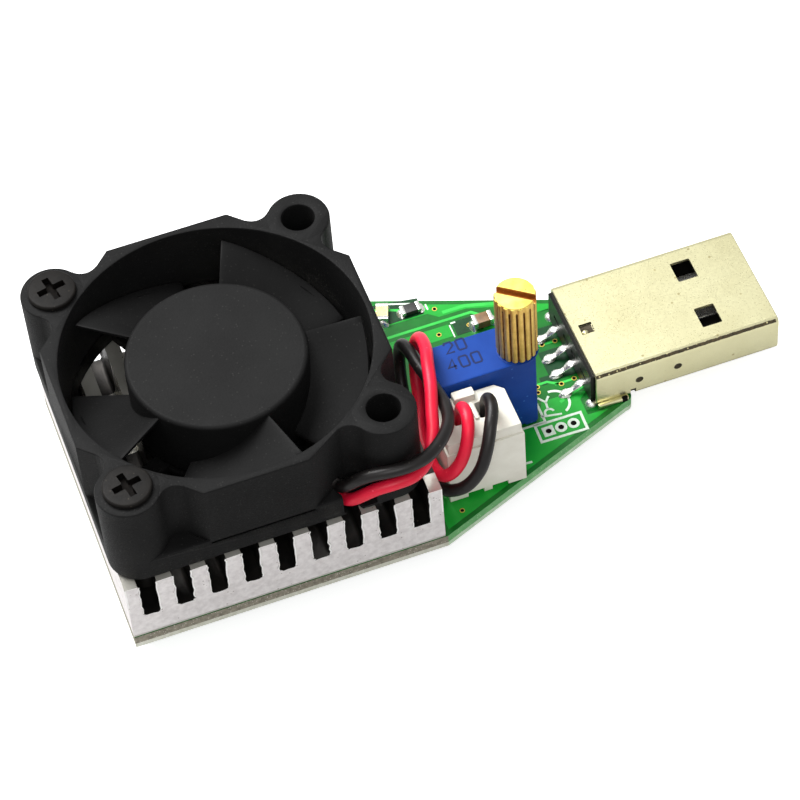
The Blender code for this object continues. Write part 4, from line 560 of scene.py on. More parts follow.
def smoothRoute(points, steps):
    # Catmull-Rom: half of 2b + (c - a)t + (2a - 5b + 4c - d)t^2 + (3b - a - 3c + d)t^3 between b and c
    p = np.asarray(points, float)
    p = np.vstack([2 * p[0] - p[1], p, 2 * p[-1] - p[-2]])
    a, b, c, d = (p[k:len(p) - 3 + k, None, :] for k in range(4))
    t = (np.arange(steps) / steps)[None, :, None]
    curve = 0.5 * (2 * b + (c - a) * t + (2 * a - 5 * b + 4 * c - d) * t ** 2 + (3 * b - a - 3 * c + d) * t ** 3)
    return np.vstack([curve.reshape(-1, 3), p[-2]])


def makeWire(name, route, material, node):
    points = smoothRoute(route, wires["steps"]) + np.array(wires["from"]) * mm
    curve = bpy.data.curves.new(name, "CURVE")
    curve.dimensions = "3D"
    curve.bevel_depth = wires["drawn"] / 2 * mm
    curve.bevel_resolution = wires["sides"]
    curve.use_fill_caps = True
    line = curve.splines.new("POLY")
    line.points.add(len(points) - 1)
    line.points.foreach_set("co", np.column_stack([points, np.ones(len(points))]).ravel())
    line.use_smooth = True
    piece = bpy.data.objects.new(name, curve)
    bpy.context.scene.collection.objects.link(piece)
    curve.materials.append(material)
    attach(piece, "base")
    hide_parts(node)
    length = float(np.linalg.norm(np.diff(points, axis=0), axis=1).sum())
    return piece, points, length


redWire, redPoints, redLength = makeWire("redWire", redRoute, wireRed, "fan_lead_red")
blackWire, blackPoints, blackLength = makeWire("blackWire", blackRoute, wireBlack, "fan_lead_black")
print("wires laid", round(redLength, 4), round(blackLength, 4))


# circuit board: a square end under the heatsink and a taper to the plug

board = {"left": -14.655, "taper": 15.995, "end": 37.15, "low": -15.80, "high": 14.40, "centre": -0.70, "half": 6.75,
         "thick": 1.6, "corner": 0.8, "copper": 0.03, "ink": 0.05, "band": 0.62}


def boardOutline(inset=0.0):
    c, r = board["centre"], board["corner"]
    arc = np.linspace(0, np.pi / 2, 6)
    x = board["end"]
    top = np.column_stack([x + r * np.sin(arc[::-1]), c + board["half"] - r + r * np.cos(arc[::-1])])
    bottom = np.column_stack([x + r * np.sin(arc), c - board["half"] + r - r * np.cos(arc)])
    loop = np.vstack([[(board["left"], board["high"]), (board["left"], board["low"]),
                       (board["taper"], board["low"])], bottom, top, [(board["taper"], board["high"])]])
    return insetLoop(loop, inset) if inset else loop


def slotHole(x, y, length, width):
    return roundedRect(x - length / 2, x + length / 2, y - width / 2, y + width / 2, width / 2 - 0.01, 4)[::-1]


pinHoles = [(21.23, -4.25, 0.4), (23.77, -4.25, 0.4), (26.31, -4.25, 0.4), (20.05, -9.315, 0.45),
            (22.55, -9.315, 0.45), (29.03, -8.0, 0.35), (30.30, -8.0, 0.35), (31.57, -8.0, 0.35)]
legSlots = [(36.095, 4.80), (36.095, -6.90)]


def makeBoard():
    holes = [hole(x, y, r, 20) for x, y, r in pinHoles] + [slotHole(x, y, 2.2, 0.7) for x, y in legSlots]
    core = prism([boardOutline()] + holes, [(0.03, 0.0), (board["band"], 0.0), (board["thick"] - 0.03, 0.0)])
    skinTop = prism([boardOutline(0.02)] + holes, [(board["thick"] - 0.03, 0.0), (board["thick"] - 0.01, 0.0),
                                                   (board["thick"], 0.02)])
    skinLow = prism([boardOutline(0.02)] + holes, [(0.0, 0.02), (0.01, 0.0), (0.03, 0.0)])
    plateCore = makePiece("boardCore", [core], [laminateEdge, oliveEdge, laminatePale, olivePale],
                          pick=lambda centre, normal: (centre[:, 0] < board["taper"] - 0.3)
                          + 2 * (centre[:, 2] < board["band"]))
    makePiece("boardMask", [skinTop, skinLow], greenMask)
    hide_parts("circuit_board")


makeBoard()

# what lies on the board: copper fields and tracks under the green mask, bare pads, white print
edgeSlope = -8.35 / 21.155


def backEdge(x, inset=0.55):
    # height of the board's back edge at x, less the bare margin
    return 14.40 + edgeSlope * (x - 15.995) - inset


def frontEdge(x, inset=0.55):
    return -15.80 - edgeSlope * (x - 15.995) + inset


copperFields = [
    [(16.3, frontEdge(16.3)), (35.3, frontEdge(35.3)), (33.2, -7.55), (33.2, -5.6), (34.0, -4.9),
     (33.3, -4.5), (29.6, -4.5), (28.6, -6.7), (16.3, -6.7)],
    [(16.3, 9.75), (23.2, 9.75), (24.1, 8.95), (26.9, 8.95), (30.2, 7.9), (33.2, 6.6), (33.2, 5.9), (36.7, 5.9),
     (36.7, backEdge(36.7)), (16.3, backEdge(16.3))],
    [(16.3, 5.5), (20.6, 5.5), (21.8, 6.2), (24.6, 6.2), (24.6, 7.75), (18.4, 7.75), (16.3, 7.75)],
    [(28.9, 1.4), (31.1, 1.4), (31.1, 3.9), (33.0, 5.5), (33.0, 6.1), (30.1, 7.35), (28.3, 7.0), (27.6, 5.9), (28.9, 5.6)],
    [(28.9, -2.2), (30.1, -2.2), (30.1, 0.9), (28.9, 0.9)],
]
brightTracks = [([(18.3, 8.35), (27.2, 8.35), (28.1, 7.55)], 0.32), ([(24.6, 9.35), (26.9, 9.35), (30.5, 8.25)], 0.4),
                ([(16.4, 11.1), (18.2, 11.1)], 0.5), ([(22.9, 10.9), (23.6, 10.3)], 0.4),
                ([(31.3, -5.2), (35.6, -3.6)], 0.3), ([(29.4, -2.45), (31.0, -2.45), (32.1, -3.2)], 0.28),
                ([(31.0, 1.95), (33.6, 1.95)], 0.28), ([(31.6, -3.05), (33.7, -3.05)], 0.26),
                ([(18.5, 12.1), (22.5, 10.55)], 0.3)]
deepFields = [[(31.45, -2.55), (34.5, -2.55), (34.5, 1.15), (31.45, 1.15)],
              [(30.45, -1.75), (31.5, -1.75), (31.5, -2.7), (30.45, -2.7)],
              [(31.8, 2.25), (34.5, 2.25), (34.5, 3.95), (31.8, 3.95)],
              [(25.0, 6.1), (29.0, 6.1), (29.0, 7.9), (25.0, 7.9)],
              [(17.6, 9.9), (22.9, 9.9), (22.9, 12.0), (17.6, 12.9)]]
vias = [(24.04, 10.04), (23.35, 6.86), (26.5, 6.92), (33.5, 1.92), (32.18, 1.94), (32.2, -3.2), (33.56, -3.03),
        (29.75, -3.35), (29.9, -2.70), (18.2, -13.6), (35.2, 5.75)]


def arcPoints(x, y, radius, start, stop, count=20):
    # x + r cos a, y + r sin a from start to stop degrees
    a = np.radians(np.linspace(start, stop, count))
    return np.column_stack([x + radius * np.cos(a), y + radius * np.sin(a)])


def flipped(shape):
    # mirror about the board's middle height, with the faces turned back outwards
    points, faces = shape
    return points * np.array([1, 1, -1]) + np.array([0, 0, board["thick"]]), [f[:, ::-1] for f in faces]


def contactLeg(y):
    # a leg from the black block to its pad: ellipses across a path in x and z, with half widths and half thicknesses
    path = np.array([(34.4, 2.78), (33.95, 2.78), (33.65, 2.74), (33.35, 2.55), (33.0, 2.24), (32.65, 2.06), (32.2, 2.0),
                     (31.8, 1.93), (31.6, 1.86)])
    wide = np.array([0.3, 0.3, 0.42, 0.42, 0.3, 0.27, 0.4, 0.4, 0.15])
    thick = np.array([0.1, 0.12, 0.2, 0.2, 0.15, 0.14, 0.16, 0.13, 0.05])
    step = np.gradient(path, axis=0)
    step = step / np.linalg.norm(step, axis=1, keepdims=True)
    angle = np.linspace(0, 2 * np.pi, 20, endpoint=False)
    across = y + np.outer(wide, np.cos(angle))
    lift = np.outer(thick, np.sin(angle))
    return loft(np.stack([path[:, :1] - step[:, 1:] * lift, across, path[:, 1:] + step[:, :1] * lift], axis=-1))


def makeBoardPrint():
    top = board["thick"]
    copper, ink = board["copper"], board["ink"]
    fields = [plate(np.array(outline), top - 0.02, top + copper * 0.6, 0.01) for outline in copperFields]
    makePiece("copperFields", fields, greenCopper)
    deep = [plate(np.array(outline), top - 0.02, top + copper * 0.8, 0.01) for outline in deepFields]
    makePiece("deepFields", deep, greenDeep)
    tracks = [plate(ribbon(points, width), top - 0.02, top + copper, 0.01) for points, width in brightTracks]
    makePiece("brightTracks", tracks, greenBright)
    rings = [prism([circle(x, y, 0.27, 20), hole(x, y, 0.16, 14)], [(top - 0.02, 0.0), (top + copper + 0.02, 0.02)])
             for x, y in vias]
    makePiece("viaRings", rings, goldRing)
    # painted shade: dark centres in the vias' holes
    centres = [prism([circle(x, y, 0.17, 14)], [(top - 0.02, 0.0), (top + copper + 0.01, 0.0)]) for x, y in vias]
    makePiece("viaCentres", centres, paintedShade)
    pads = [prism([roundedRect(x - 0.58, x + 0.58, y - 0.58, y + 0.58, 0.06, 2) if square else circle(x, y, 0.6, 28),
                   hole(x, y, 0.27, 24)], [(top - 0.02, 0.0), (top + copper + 0.02, 0.02)])
            for x, y, square in ((29.03, -8.0, True), (30.30, -8.0, False), (31.57, -8.0, False))]
    makePiece("jumperPads", pads, inkWhite)
    # painted shade: dark discs in the jumper holes
    plugs = [prism([circle(x, y, 0.28, 20)], [(top - 0.02, 0.0), (top + copper, 0.0)]) for x, y, r in pinHoles[5:]]
    makePiece("jumperHoles", plugs, paintedShade)
    jumperFrame = prism([np.array([(27.83, -9.12), (32.70, -9.21), (32.76, -6.90), (27.89, -6.84)]),
                         np.array([(28.09, -8.86), (28.15, -7.10), (32.49, -7.16), (32.43, -8.95)])],
                        [(top - 0.02, 0.0), (top + ink, 0.0)])
    lines = [([(26.85, -6.85), (29.13, -6.85), (29.13, -4.5)], 0.24), ([(25.35, -10.73), (26.3, -10.78)], 0.24),
             ([(23.4, 10.95), (23.4, 10.2)], 0.16), (arcPoints(30.75, -5.1, 1.45, -62, 95), 0.26),
             (arcPoints(29.9, -6.0, 0.45, 10, 200, 12), 0.22), ([(29.45, -3.95), (30.0, -4.7), (30.5, -4.1)], 0.22),
             ([(30.0, -4.7), (29.9, -5.55)], 0.22), ([(28.95, -6.15), (30.95, -6.55)], 0.22),
             ([(19.9, 12.35), (22.75, 11.3), (22.45, 10.5)], 0.2), ([(24.85, 7.75), (25.35, 7.75)], 0.2),
             ([(24.7, 6.0), (24.7, 7.6)], 0.14), ([(17.4, 10.2), (17.4, 12.3)], 0.14)]
    strips = [plate(ribbon(points, width), top - 0.02, top + ink, 0.01) for points, width in lines]
    makePiece("whitePrint", [jumperFrame] + strips, inkWhite)
    blobs = [dome(34.12, 4.85, top, 0.52, 0.62, 0.42), dome(33.98, -6.42, top, 0.58, 0.55, 0.45)]
    for offset in (3.5, 1.0, -1.0, -3.5):
        blobs.append(dome(32.1, -1.05 + offset, top, 0.72, 0.42, 0.34, power=0.8))
    makePiece("solderBlobs", blobs, solderTin, sharp=60)
    under = [flipped(dome(x, y, top, 0.75, 0.75, 0.9)) for x, y, _ in pinHoles[:5]]
    under += [flipped(dome(x, y, top, 1.5, 0.75, 0.35)) for x, y in legSlots]
    makePiece("solderBlobsUnder", under, solderTin, sharp=60)


def makeContacts():
    # the strip on the tongue and the leg behind the plug
    for number, offset in enumerate((-3.5, -1.0, 1.0, 3.5)):
        y = -1.05 + offset
        strip = block(34.0, 51.745, y - 0.5, y + 0.5, 3.88, 4.125, 0.1, 0.05)
        piece = makePiece(f"usbContact{number + 1}", [strip, contactLeg(y)], solderTin, sharp=60, turnOut=True)
        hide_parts(f"usb_contact_{number + 1}")


makeBoardPrint()
makeContacts()
print("board made")


# small parts: a body between two tinned ends

chips = [
    # name, node, x, y, turn, length, width, height, body, slot, under the board
    ("powerLed", "power_led", 18.995, 11.10, 70.0, 2.0, 1.25, 0.8, ledCream, "led", False),
    ("ledResistor", "led_resistor", 21.795, 10.70, 0.0, 2.0, 1.10, 0.5, chipBlack, "chip_black", False),
    ("supplyCapacitor", "supply_capacitor", 27.795, 6.60, 0.0, 2.0, 1.25, 0.9, chipBrown, "chip_brown", False),
    ("shuntResistor", "shunt_resistor", 5.995, -9.20, 0.0, 6.3, 3.2, 0.6, chipBlack, "chip_black", True),
    ("gateResistor", "gate_resistor", 16.495, 6.00, 90.0, 2.0, 1.25, 0.5, chipBlack, "chip_black", True),
    ("dividerResistor", "divider_resistor", 28.995, -0.50, 90.0, 2.0, 1.25, 0.5, chipBlack, "chip_black", True),
    ("filterCapacitor", "filter_capacitor", 22.495, 9.60, 0.0, 2.0, 1.25, 0.9, chipBrown, "chip_brown", True),
]


def makeChip(name, node, x, y, turn, length, width, height, body, slot, under):
    # the node's own box in three lengths; the ends stand a hundredth of a millimetre proud
    end = length * 0.2
    top, seat = board["thick"], board["thick"] + 0.1
    core = block(-length / 2 + end * 0.6, length / 2 - end * 0.6, -width / 2 + 0.02, width / 2 - 0.02, seat + 0.01,
                 seat + height - 0.01, 0.03, 0.03)
    ends = [block(min(s * length / 2, s * (length / 2 - end)), max(s * length / 2, s * (length / 2 - end)),
                  -width / 2, width / 2, seat, seat + height, 0.06, 0.05) for s in (-1, 1)]
    fillets = [dome(s * (length / 2 + 0.04), 0.0, top, 0.42, width / 2 + 0.08, height * 0.75, power=1.2) for s in (-1, 1)]
    place = Matrix.Translation((x, y, 0.0)) @ Matrix.Rotation(math.radians(turn), 4, "Z")
    core, ends, fillets = moved(core, place), [moved(e, place) for e in ends], [moved(f, place) for f in fillets]
    if under:
        core, ends, fillets = flipped(core), [flipped(e) for e in ends], [flipped(f) for f in fillets]
    piece = makePiece(name, [core], body)
    makePiece(name + "Ends", ends + fillets, solderTin, sharp=50)
    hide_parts(node)


for chip in chips:
    makeChip(*chip)
print("small parts made")


# heatsink: a comb of fins with torn edges, carried along Y

heatsink = {"left": -14.655, "right": 15.745, "front": -15.77, "back": 14.23, "bottom": 1.9, "floor": 4.5, "top": 9.2,
            "grooves": 9, "pitch": 3.27, "width": 1.84, "middle": 0.545, "ragged": 0.05}


def combOutline(grow):
    # the section in x and z: base, then up and down each fin with rounded groove floors
    h = heatsink
    k = np.arange(h["grooves"])
    centre = h["middle"] + (k - 4) * h["pitch"]
    half = h["width"] / 2 - grow
    left, right = h["left"] + grow, h["right"] - grow
    low, floor, top = h["bottom"] + grow, h["floor"] - grow, h["top"] - grow
    loop = [(left, low)]
    loop += [(x, low) for x in np.linspace(left, right, 30)[1:-1]]
    loop += [(right, low), (right, (low + top) / 2), (right, top)]
    rise = np.array([0.0, 0.3, 0.7, 1.2, 1.8, 2.4, 3.0, 3.6]) + 0.4
    bowl = [(half, floor + 0.4), (half - 0.08, floor + 0.18), (half - 0.22, floor + 0.06), (half - 0.45, floor)]
    for x in centre[::-1]:
        wall = [(half, z) for z in (top, top - 0.15, top - 0.4, top - 0.8)]
        wall += [(half, floor + z) for z in rise[::-1] if floor + z < top - 1.0 and z > 0.5] + bowl
        loop += [(x + a, z) for a, z in wall] + [(x, floor)] + [(x - a, z) for a, z in wall[::-1]]
    loop += [(left, top), (left, (low + top) / 2)]
    return np.array(loop)


def heatsinkFinishAndPaintedLight(centre, normal):
    # 0 for sawn and outer faces, 1 painted shade inside the grooves' mouths and on the upward faces under the fan, 2
    # painted light on the fins' tops and deep inside, 3 on the burrs, painted brighter as an edge highlight
    h = heatsink
    k = np.round((centre[:, 0] - h["middle"]) / h["pitch"])
    near = np.abs(centre[:, 0] - h["middle"] - k * h["pitch"]) < h["width"] / 2 + 0.06
    inside = near & (centre[:, 2] > h["floor"] - 0.1) & (np.abs(normal[:, 1]) < 0.6) & (np.abs(k) < 4.5)
    top = (centre[:, 2] > h["top"] - 0.12) & (normal[:, 2] > 0.6)
    deep = (centre[:, 1] > h["front"] + 18.0) & (centre[:, 1] < h["back"] - 4.5)
    top &= (centre[:, 1] > h["front"] + 18.0) | (centre[:, 1] < h["front"] + 2.0)
    inside |= (normal[:, 2] > 0.7) & (centre[:, 1] > h["front"] + 2.0) & (centre[:, 1] < h["front"] + 18.0)
    side = np.abs(centre[:, 1] - (h["front"] + h["back"]) / 2) > 14.95
    burr = side & (np.abs(normal[:, 1]) > 0.5) & (np.abs(normal[:, 1]) < 0.985) & (centre[:, 2] > h["floor"] - 0.3)
    return np.where(burr, 3, np.where(top | inside & deep, 2, np.where(inside, 1, 0)))


def makeHeatsink():
    # sections along Y: the saw has torn the edges at both ends, by fixed noise that fades within a millimetre
    front, back = heatsink["front"], heatsink["back"]
    stations = [(front + 0.05, 0.13, 0.8), (front, 0.0, 1.0), (front + 0.22, 0.0, 0.7), (front + 0.9, 0.0, 0.0),
                (front + 2.0, 0.0, 0.0), (front + 18.0, 0.0, 0.0), (back - 4.5, 0.0, 0.0), (back - 0.9, 0.0, 0.0), (back - 0.22, 0.0, 0.7),
                (back, 0.0, 1.0), (back - 0.05, 0.13, 0.8)]
    push = np.random.default_rng(7).normal(0, 1, combOutline(0.0).shape) * heatsink["ragged"]
    push[:31] *= 0.25
    rings = []
    for y, grow, share in stations:
        loop = combOutline(grow) + push * share
        rings.append(np.column_stack([loop[:, 0], np.full(len(loop), y), loop[:, 1]]))
    count = len(rings[0])
    points = np.vstack(rings)
    faces = [gridFaces(len(rings), count, False, True)[:, ::-1]]
    for ring, start, frontSide in ((rings[0], 0, True), (rings[-1], (len(rings) - 1) * count, False)):
        tri = np.array(tessellate_polygon([[Vector((p[0], p[2], 0.0)) for p in ring]]))
        a, b, c = ring[tri[:, 0]], ring[tri[:, 1]], ring[tri[:, 2]]
        area = (b[:, 0] - a[:, 0]) * (c[:, 2] - a[:, 2]) - (b[:, 2] - a[:, 2]) * (c[:, 0] - a[:, 0])
        flip = (area < 0) if frontSide else (area > 0)
        tri[flip] = tri[flip][:, ::-1]
        faces.append(tri + start)
    piece = makePiece("finnedHeatsink", [(points, faces)], [sawnAluminium, grooveShadedMetal, finTopLitMetal, burrHighlightMetal],
                      sharp=28, turnOut=True, pick=heatsinkFinishAndPaintedLight)
    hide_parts("heatsink")


makeHeatsink()
print("heatsink made")


# fan frame

fan = {"cornerRadius": 3.0, "bottom": 8.8, "flangeTop": 11.5, "top": 18.8, "bore": 14.35, "ear": 12.0,
       "earRadius": 3.0, "holeRadius": 1.55, "webTop": 18.76, "fillet": 1.5, "face": 14.78, "cup": 8.2, "cupTop": 9.8,
       "strut": 1.8, "strutTop": 10.0, "edge": 0.22, "lead": -63.0}


def webOutline(lowLine, highLine):
    # ear joined to the slanting face by an arc on each side, tangent to the ear and to a line (point, direction);
    # each arc's centre lies r off its line and R + r from the ear's centre, and the web ends at the bore
    f = fan
    ear, r = np.array([f["ear"] * math.sqrt(2), 0.0]), f["fillet"]
    arcs = []
    for (point, along), sign in ((lowLine, -1), (highLine, 1)):
        d = np.array(along) / np.linalg.norm(along)
        n = np.array([d[1], -d[0]])
        start = np.array(point) + r * n - ear
        half, rest = float(start @ d), float(start @ start) - (f["earRadius"] + r) ** 2
        centre = ear + start + (sign * math.sqrt(half ** 2 - rest) - half) * d
        first = math.atan2(-n[1], -n[0])
        sweep = (math.atan2(ear[1] - centre[1], ear[0] - centre[0]) - first + math.pi) % (2 * math.pi) - math.pi
        a = first + np.linspace(0, sweep, 9)
        arcs.append(centre + r * np.column_stack([np.cos(a), np.sin(a)]))
    low, high = arcs
    b = np.linspace(math.atan2(low[-1, 1], low[-1, 0] - ear[0]) + 2 * math.pi,
                    math.atan2(high[-1, 1], high[-1, 0] - ear[0]), 13)
    back = np.column_stack([ear[0] + 2.3 * np.cos(b), 2.3 * np.sin(b)])
    c = np.radians(np.linspace(15.5, -15.5, 15))
    inner = (f["bore"] + 0.04) * np.column_stack([np.cos(c), np.sin(c)])
    return np.vstack([low, back, high[::-1], inner])


def makeFanFrame():
    f = fan
    a = np.radians([-57.0, -54.0, -51.0, -48.0, -45.0])
    octagon = np.vstack([[(15, -5.9), (15, 5.9), (5.9, 15), (-5.9, 15), (-15, 5.9), (-15, -5.9), (-5.9, -15), (4.0, -15)],
                         f["face"] * np.column_stack([np.cos(a), np.sin(a)])])
    bore = hole(0, 0, f["bore"], 128)
    earHoles = [hole(sx * f["ear"], sy * f["ear"], f["holeRadius"], 40) for sx in (-1, 1) for sy in (-1, 1)]
    flange = prism([roundedRect(-15, 15, -15, 15, f["cornerRadius"], 10), bore] + earHoles,
                   softLevels(f["bottom"], f["flangeTop"], f["edge"]))
    body = prism([octagon, bore], softLevels(f["flangeTop"] - 0.4, f["top"], f["edge"], lowEdge=0))
    ear = f["ear"] * math.sqrt(2)
    extras = []
    for angle in (45, 135, 225, 315):
        outer = circle(ear, 0, f["earRadius"], 64)
        reach = np.linalg.norm(outer, axis=1)
        outer = outer * np.maximum(1.0, (f["bore"] + 0.05) / reach)[:, None]
        ring = prism([outer, hole(ear, 0, f["holeRadius"], 40)],
                     softLevels(f["flangeTop"] - 0.4, f["top"], f["edge"], lowEdge=0))
        plain = ((f["face"], 0.0), (0.0, 1.0))
        low = ((13.43, -7.78), (0.99, 4.73)) if angle == 315 else plain
        web = prism([webOutline(low, plain)], softLevels(f["flangeTop"] - 0.4, f["webTop"], 0.1, lowEdge=0))
        extras += [turned(ring, angle), turned(web, angle)]
    cup = lathe([(0.0, f["bottom"] + 0.1), (f["cup"] - 0.2, f["bottom"] + 0.1), (f["cup"], f["bottom"] + 0.3),
                 (f["cup"], f["cupTop"] - 0.2), (f["cup"] - 0.2, f["cupTop"]), (0.0, f["cupTop"])], count=96)
    extras.append(cup)
    for k in (1, 2, 3):
        strut = block(7.8, 14.5, -f["strut"] / 2, f["strut"] / 2, f["bottom"] + 0.05, f["strutTop"], 0.2, 0.12)
        extras.append(turned(strut, f["lead"] + 90 * k))
    extras.append(turned(block(7.8, 9.4, -1.9, 1.9, f["bottom"] + 0.05, 9.2, 0.2, 0.12), f["lead"]))
    piece = makePiece("fanFrame", [flange, body], fanPlastic, level="fan")
    relief = block(6.6, 9.8, -17.0, -13.1, f["bottom"] + 0.4, f["flangeTop"] + 0.1, 0.05, 0.02)
    window = turned(block(13.9, 22.0, -0.75, 0.75, f["bottom"] - 1.0, f["bottom"] + 3.6, 0.05, 0.02), f["lead"])
    cutAway(piece, [relief, window], "fan")
    makePiece("fanFrameEars", extras, fanPlastic, level="fan")
    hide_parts("fan_frame")


makeFanFrame()
print("fan frame made")


# impeller: a smooth hub and five leaning blades

impeller = {"hub": 8.45, "top": 18.1, "skirt": 10.9, "edge": 0.42, "blades": 5, "start": -1.7, "sweep": 54.0,
            "root": 8.05, "tip": 13.85, "high": 17.8, "low": 12.6, "thick": 0.7, "camber": 0.10}


def bladeShape(turn):
    # round the loop: upper face out and lower face back; height falls with v plus camber times sin(pi v)
    g = impeller
    v = (1 - np.cos(np.linspace(0, np.pi, 25))) / 2
    half = g["thick"] / 2 * (0.45 + 0.55 * np.sqrt(np.clip(1 - (2 * v - 1) ** 8, 0, 1)))
    height = g["high"] + (g["low"] - g["high"]) * (v + g["camber"] * np.sin(np.pi * v)) - g["thick"] / 2
    angle = np.radians(turn - g["sweep"] * v)
    loopAngle = np.concatenate([angle, angle[::-1]])
    loopHeight = np.concatenate([height + half, (height - half)[::-1]])
    radii = np.concatenate([[g["root"]], np.linspace(g["root"] + 0.4, g["tip"] - 0.12, 9), [g["tip"]]])
    thin = np.concatenate([np.ones(10), [0.6]])
    middle = np.concatenate([height, height[::-1]])
    rings = [np.column_stack([r * np.cos(loopAngle), r * np.sin(loopAngle), middle + (loopHeight - middle) * t])
             for r, t in zip(radii, thin)]
    return loft(rings)


def makeImpeller():
    g = impeller
    arc = np.linspace(0, np.pi / 2, 7)
    outer = [(g["hub"] - g["edge"] + g["edge"] * math.cos(a), g["top"] - g["edge"] + g["edge"] * math.sin(a)) for a in arc]
    profile = [(g["hub"] - 0.85, g["skirt"]), (g["hub"] - 0.1, g["skirt"]), (g["hub"], g["skirt"] + 0.1)] + outer
    profile += [(0.0, g["top"]), (0.0, g["top"] - 0.85), (g["hub"] - 0.85, g["top"] - 0.85)]
    hub = lathe(profile, count=128, closed=True)
    shapes = [hub] + [bladeShape(g["start"] + 72 * k) for k in range(g["blades"])]
    piece = makePiece("impellerDressed", shapes, bladePlastic, body="impeller", sharp=40,
                      turnOut=True, level="fan")
    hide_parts("impeller")


makeImpeller()
print("impeller made")


# fan screws: flat heads with a soft rim and a cross recess

screw = {"radius": 2.28, "bottom": 18.9, "top": 19.42, "rim": 19.36, "round": 0.2, "cross": 1.36, "crossHalf": 0.33,
         "depth": 0.75, "turn": 12.0, "shank": 1.3, "shankEnd": 4.7}


def makeScrew(name, node, y):
    # a nearly flat head with a soft rim, a shank below, and two crossing cuts with a wider middle
    g, x = screw, -12.0
    arc = np.linspace(0, np.pi / 2, 6)
    rim = [(g["radius"] - g["round"] + g["round"] * math.cos(a), g["rim"] - g["round"] + g["round"] * math.sin(a))
           for a in arc]
    profile = [(0.0, g["shankEnd"]), (g["shank"] - 0.3, g["shankEnd"]), (g["shank"], g["shankEnd"] + 0.4),
               (g["shank"], g["bottom"]), (g["radius"] - 0.1, g["bottom"]), (g["radius"], g["bottom"] + 0.06)] + rim
    profile += [(1.6, g["top"] - 0.02), (0.8, g["top"]), (0.0, g["top"])]
    head = makePiece(name, [lathe(profile, x, y, 96)], [blackOxide, paintedShade], sharp=40,
                     turnOut=True, level="fan")
    low, high, w, c = g["top"] - g["depth"], g["top"] + 0.5, g["crossHalf"], g["cross"]
    arms = [block(-c, c, -w, w, low, high, 0.05, 0.04), block(-w, w, -c, c, low, high, 0.05, 0.04),
            turned(block(-0.52, 0.52, -0.52, 0.52, low, high, 0.05, 0.04), 45)]
    cutAway(head, [shifted(turned(arm, g["turn"]), x, y) for arm in arms], "fan")
    # the cross recess's faces take the painted shade
    pickFinish(head.data, "fan", lambda centre, normal: (centre[:, 2] > g["top"] - g["depth"] - 0.05)
               & (centre[:, 2] < g["top"] - 0.1) & (np.hypot(centre[:, 0] - x, centre[:, 1] - y) < g["cross"] + 0.1))
    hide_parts(node)


makeScrew("screwFront", "fan_screw_front", -12.0)
makeScrew("screwBack", "fan_screw_back", 12.0)
print("screws made")


# trimmer: blue case and a fluted brass knob

trimmer = {"left": 19.005, "right": 28.535, "front": -6.665, "back": -1.835, "bottom": 2.1, "top": 11.6, "feet": 1.7}
knob = {"x": 27.285, "y": -4.95, "crest": 1.975, "root": 1.70, "flutes": 17, "bottom": 11.8, "top": 19.8,
        "slot": 0.74, "slotDepth": 0.85, "turn": -37.0, "narrow": 0.42}


digitStrokes = {"0": [[(0, 0.12), (0, 0.88), (0.15, 1), (0.85, 1), (1, 0.88), (1, 0.12), (0.85, 0), (0.15, 0), (0, 0.12)]],
                "2": [[(0, 0.8), (0.15, 1), (0.85, 1), (1, 0.8), (1, 0.6), (0, 0), (1, 0)]],
                "4": [[(0.75, 0), (0.75, 1), (0, 0.3), (1, 0.3)]]}


def makeTrimmer():
    t = trimmer
    case = prism([roundedRect(t["left"], t["right"], t["front"], t["back"], 0.18, 3)],
                 softLevels(t["bottom"], t["top"], 0.14, lowEdge=0.05))
    feet = [block(x, x + 1.2, y, y + 0.9, t["feet"], t["bottom"] + 0.2, 0.15, 0.05)
            for x in (t["left"] + 0.1, t["right"] - 1.3) for y in (t["front"] + 0.1, t["back"] - 1.0)]
    collar = lathe([(1.2, t["top"] - 0.05), (2.0, t["top"] - 0.05), (2.0, t["top"] + 0.06), (1.9, t["top"] + 0.1),
                    (1.25, t["top"] + 0.1), (1.2, t["top"] + 0.06)], knob["x"], knob["y"], 48, closed=True)
    piece = makePiece("trimmerCase", [case, collar] + feet, trimmerBlue)
    marks = []
    for text, x, y in (("20", 21.0, -3.1), ("400", 20.6, -5.1)):
        for place, digit in enumerate(text):
            strokes = digitStrokes[digit]
            marks += [plate(ribbon(np.array(line) * np.array([0.8, 1.25]) + np.array([x + place * 1.2, y]), 0.2),
                            t["top"] - 0.02, t["top"] + 0.015, 0.005) for line in strokes]
    makePiece("trimmerMarks", marks, printedInk)
    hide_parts("trimmer_case")


def fluteRadius(a):
    # wide rounded crests with narrow grooves between them
    k = knob
    wave = np.abs(np.sin(a * k["flutes"] / 2)) ** k["narrow"]
    return k["root"] + (k["crest"] - k["root"]) * wave


def knobFinishAndPaintedLight(centre, normal):
    # 0 on the crests, 1 on the end face with a painted highlight, 2 in the grooves with painted shade, 3 in the slot
    # with painted shade
    k = knob
    r = np.hypot(centre[:, 0] - k["x"], centre[:, 1] - k["y"])
    groove = (r < k["root"] + 0.62 * (k["crest"] - k["root"])) & (np.abs(normal[:, 2]) < 0.5) & (r > k["root"] - 0.1)
    face = (centre[:, 2] > k["top"] - 0.25) & (normal[:, 2] > 0.35)
    slot = (centre[:, 2] > k["top"] - k["slotDepth"] - 0.1) & (centre[:, 2] < k["top"] - 0.3) & (r < k["root"])
    return np.where(face, 1, np.where(slot, 3, np.where(groove, 2, 0)))


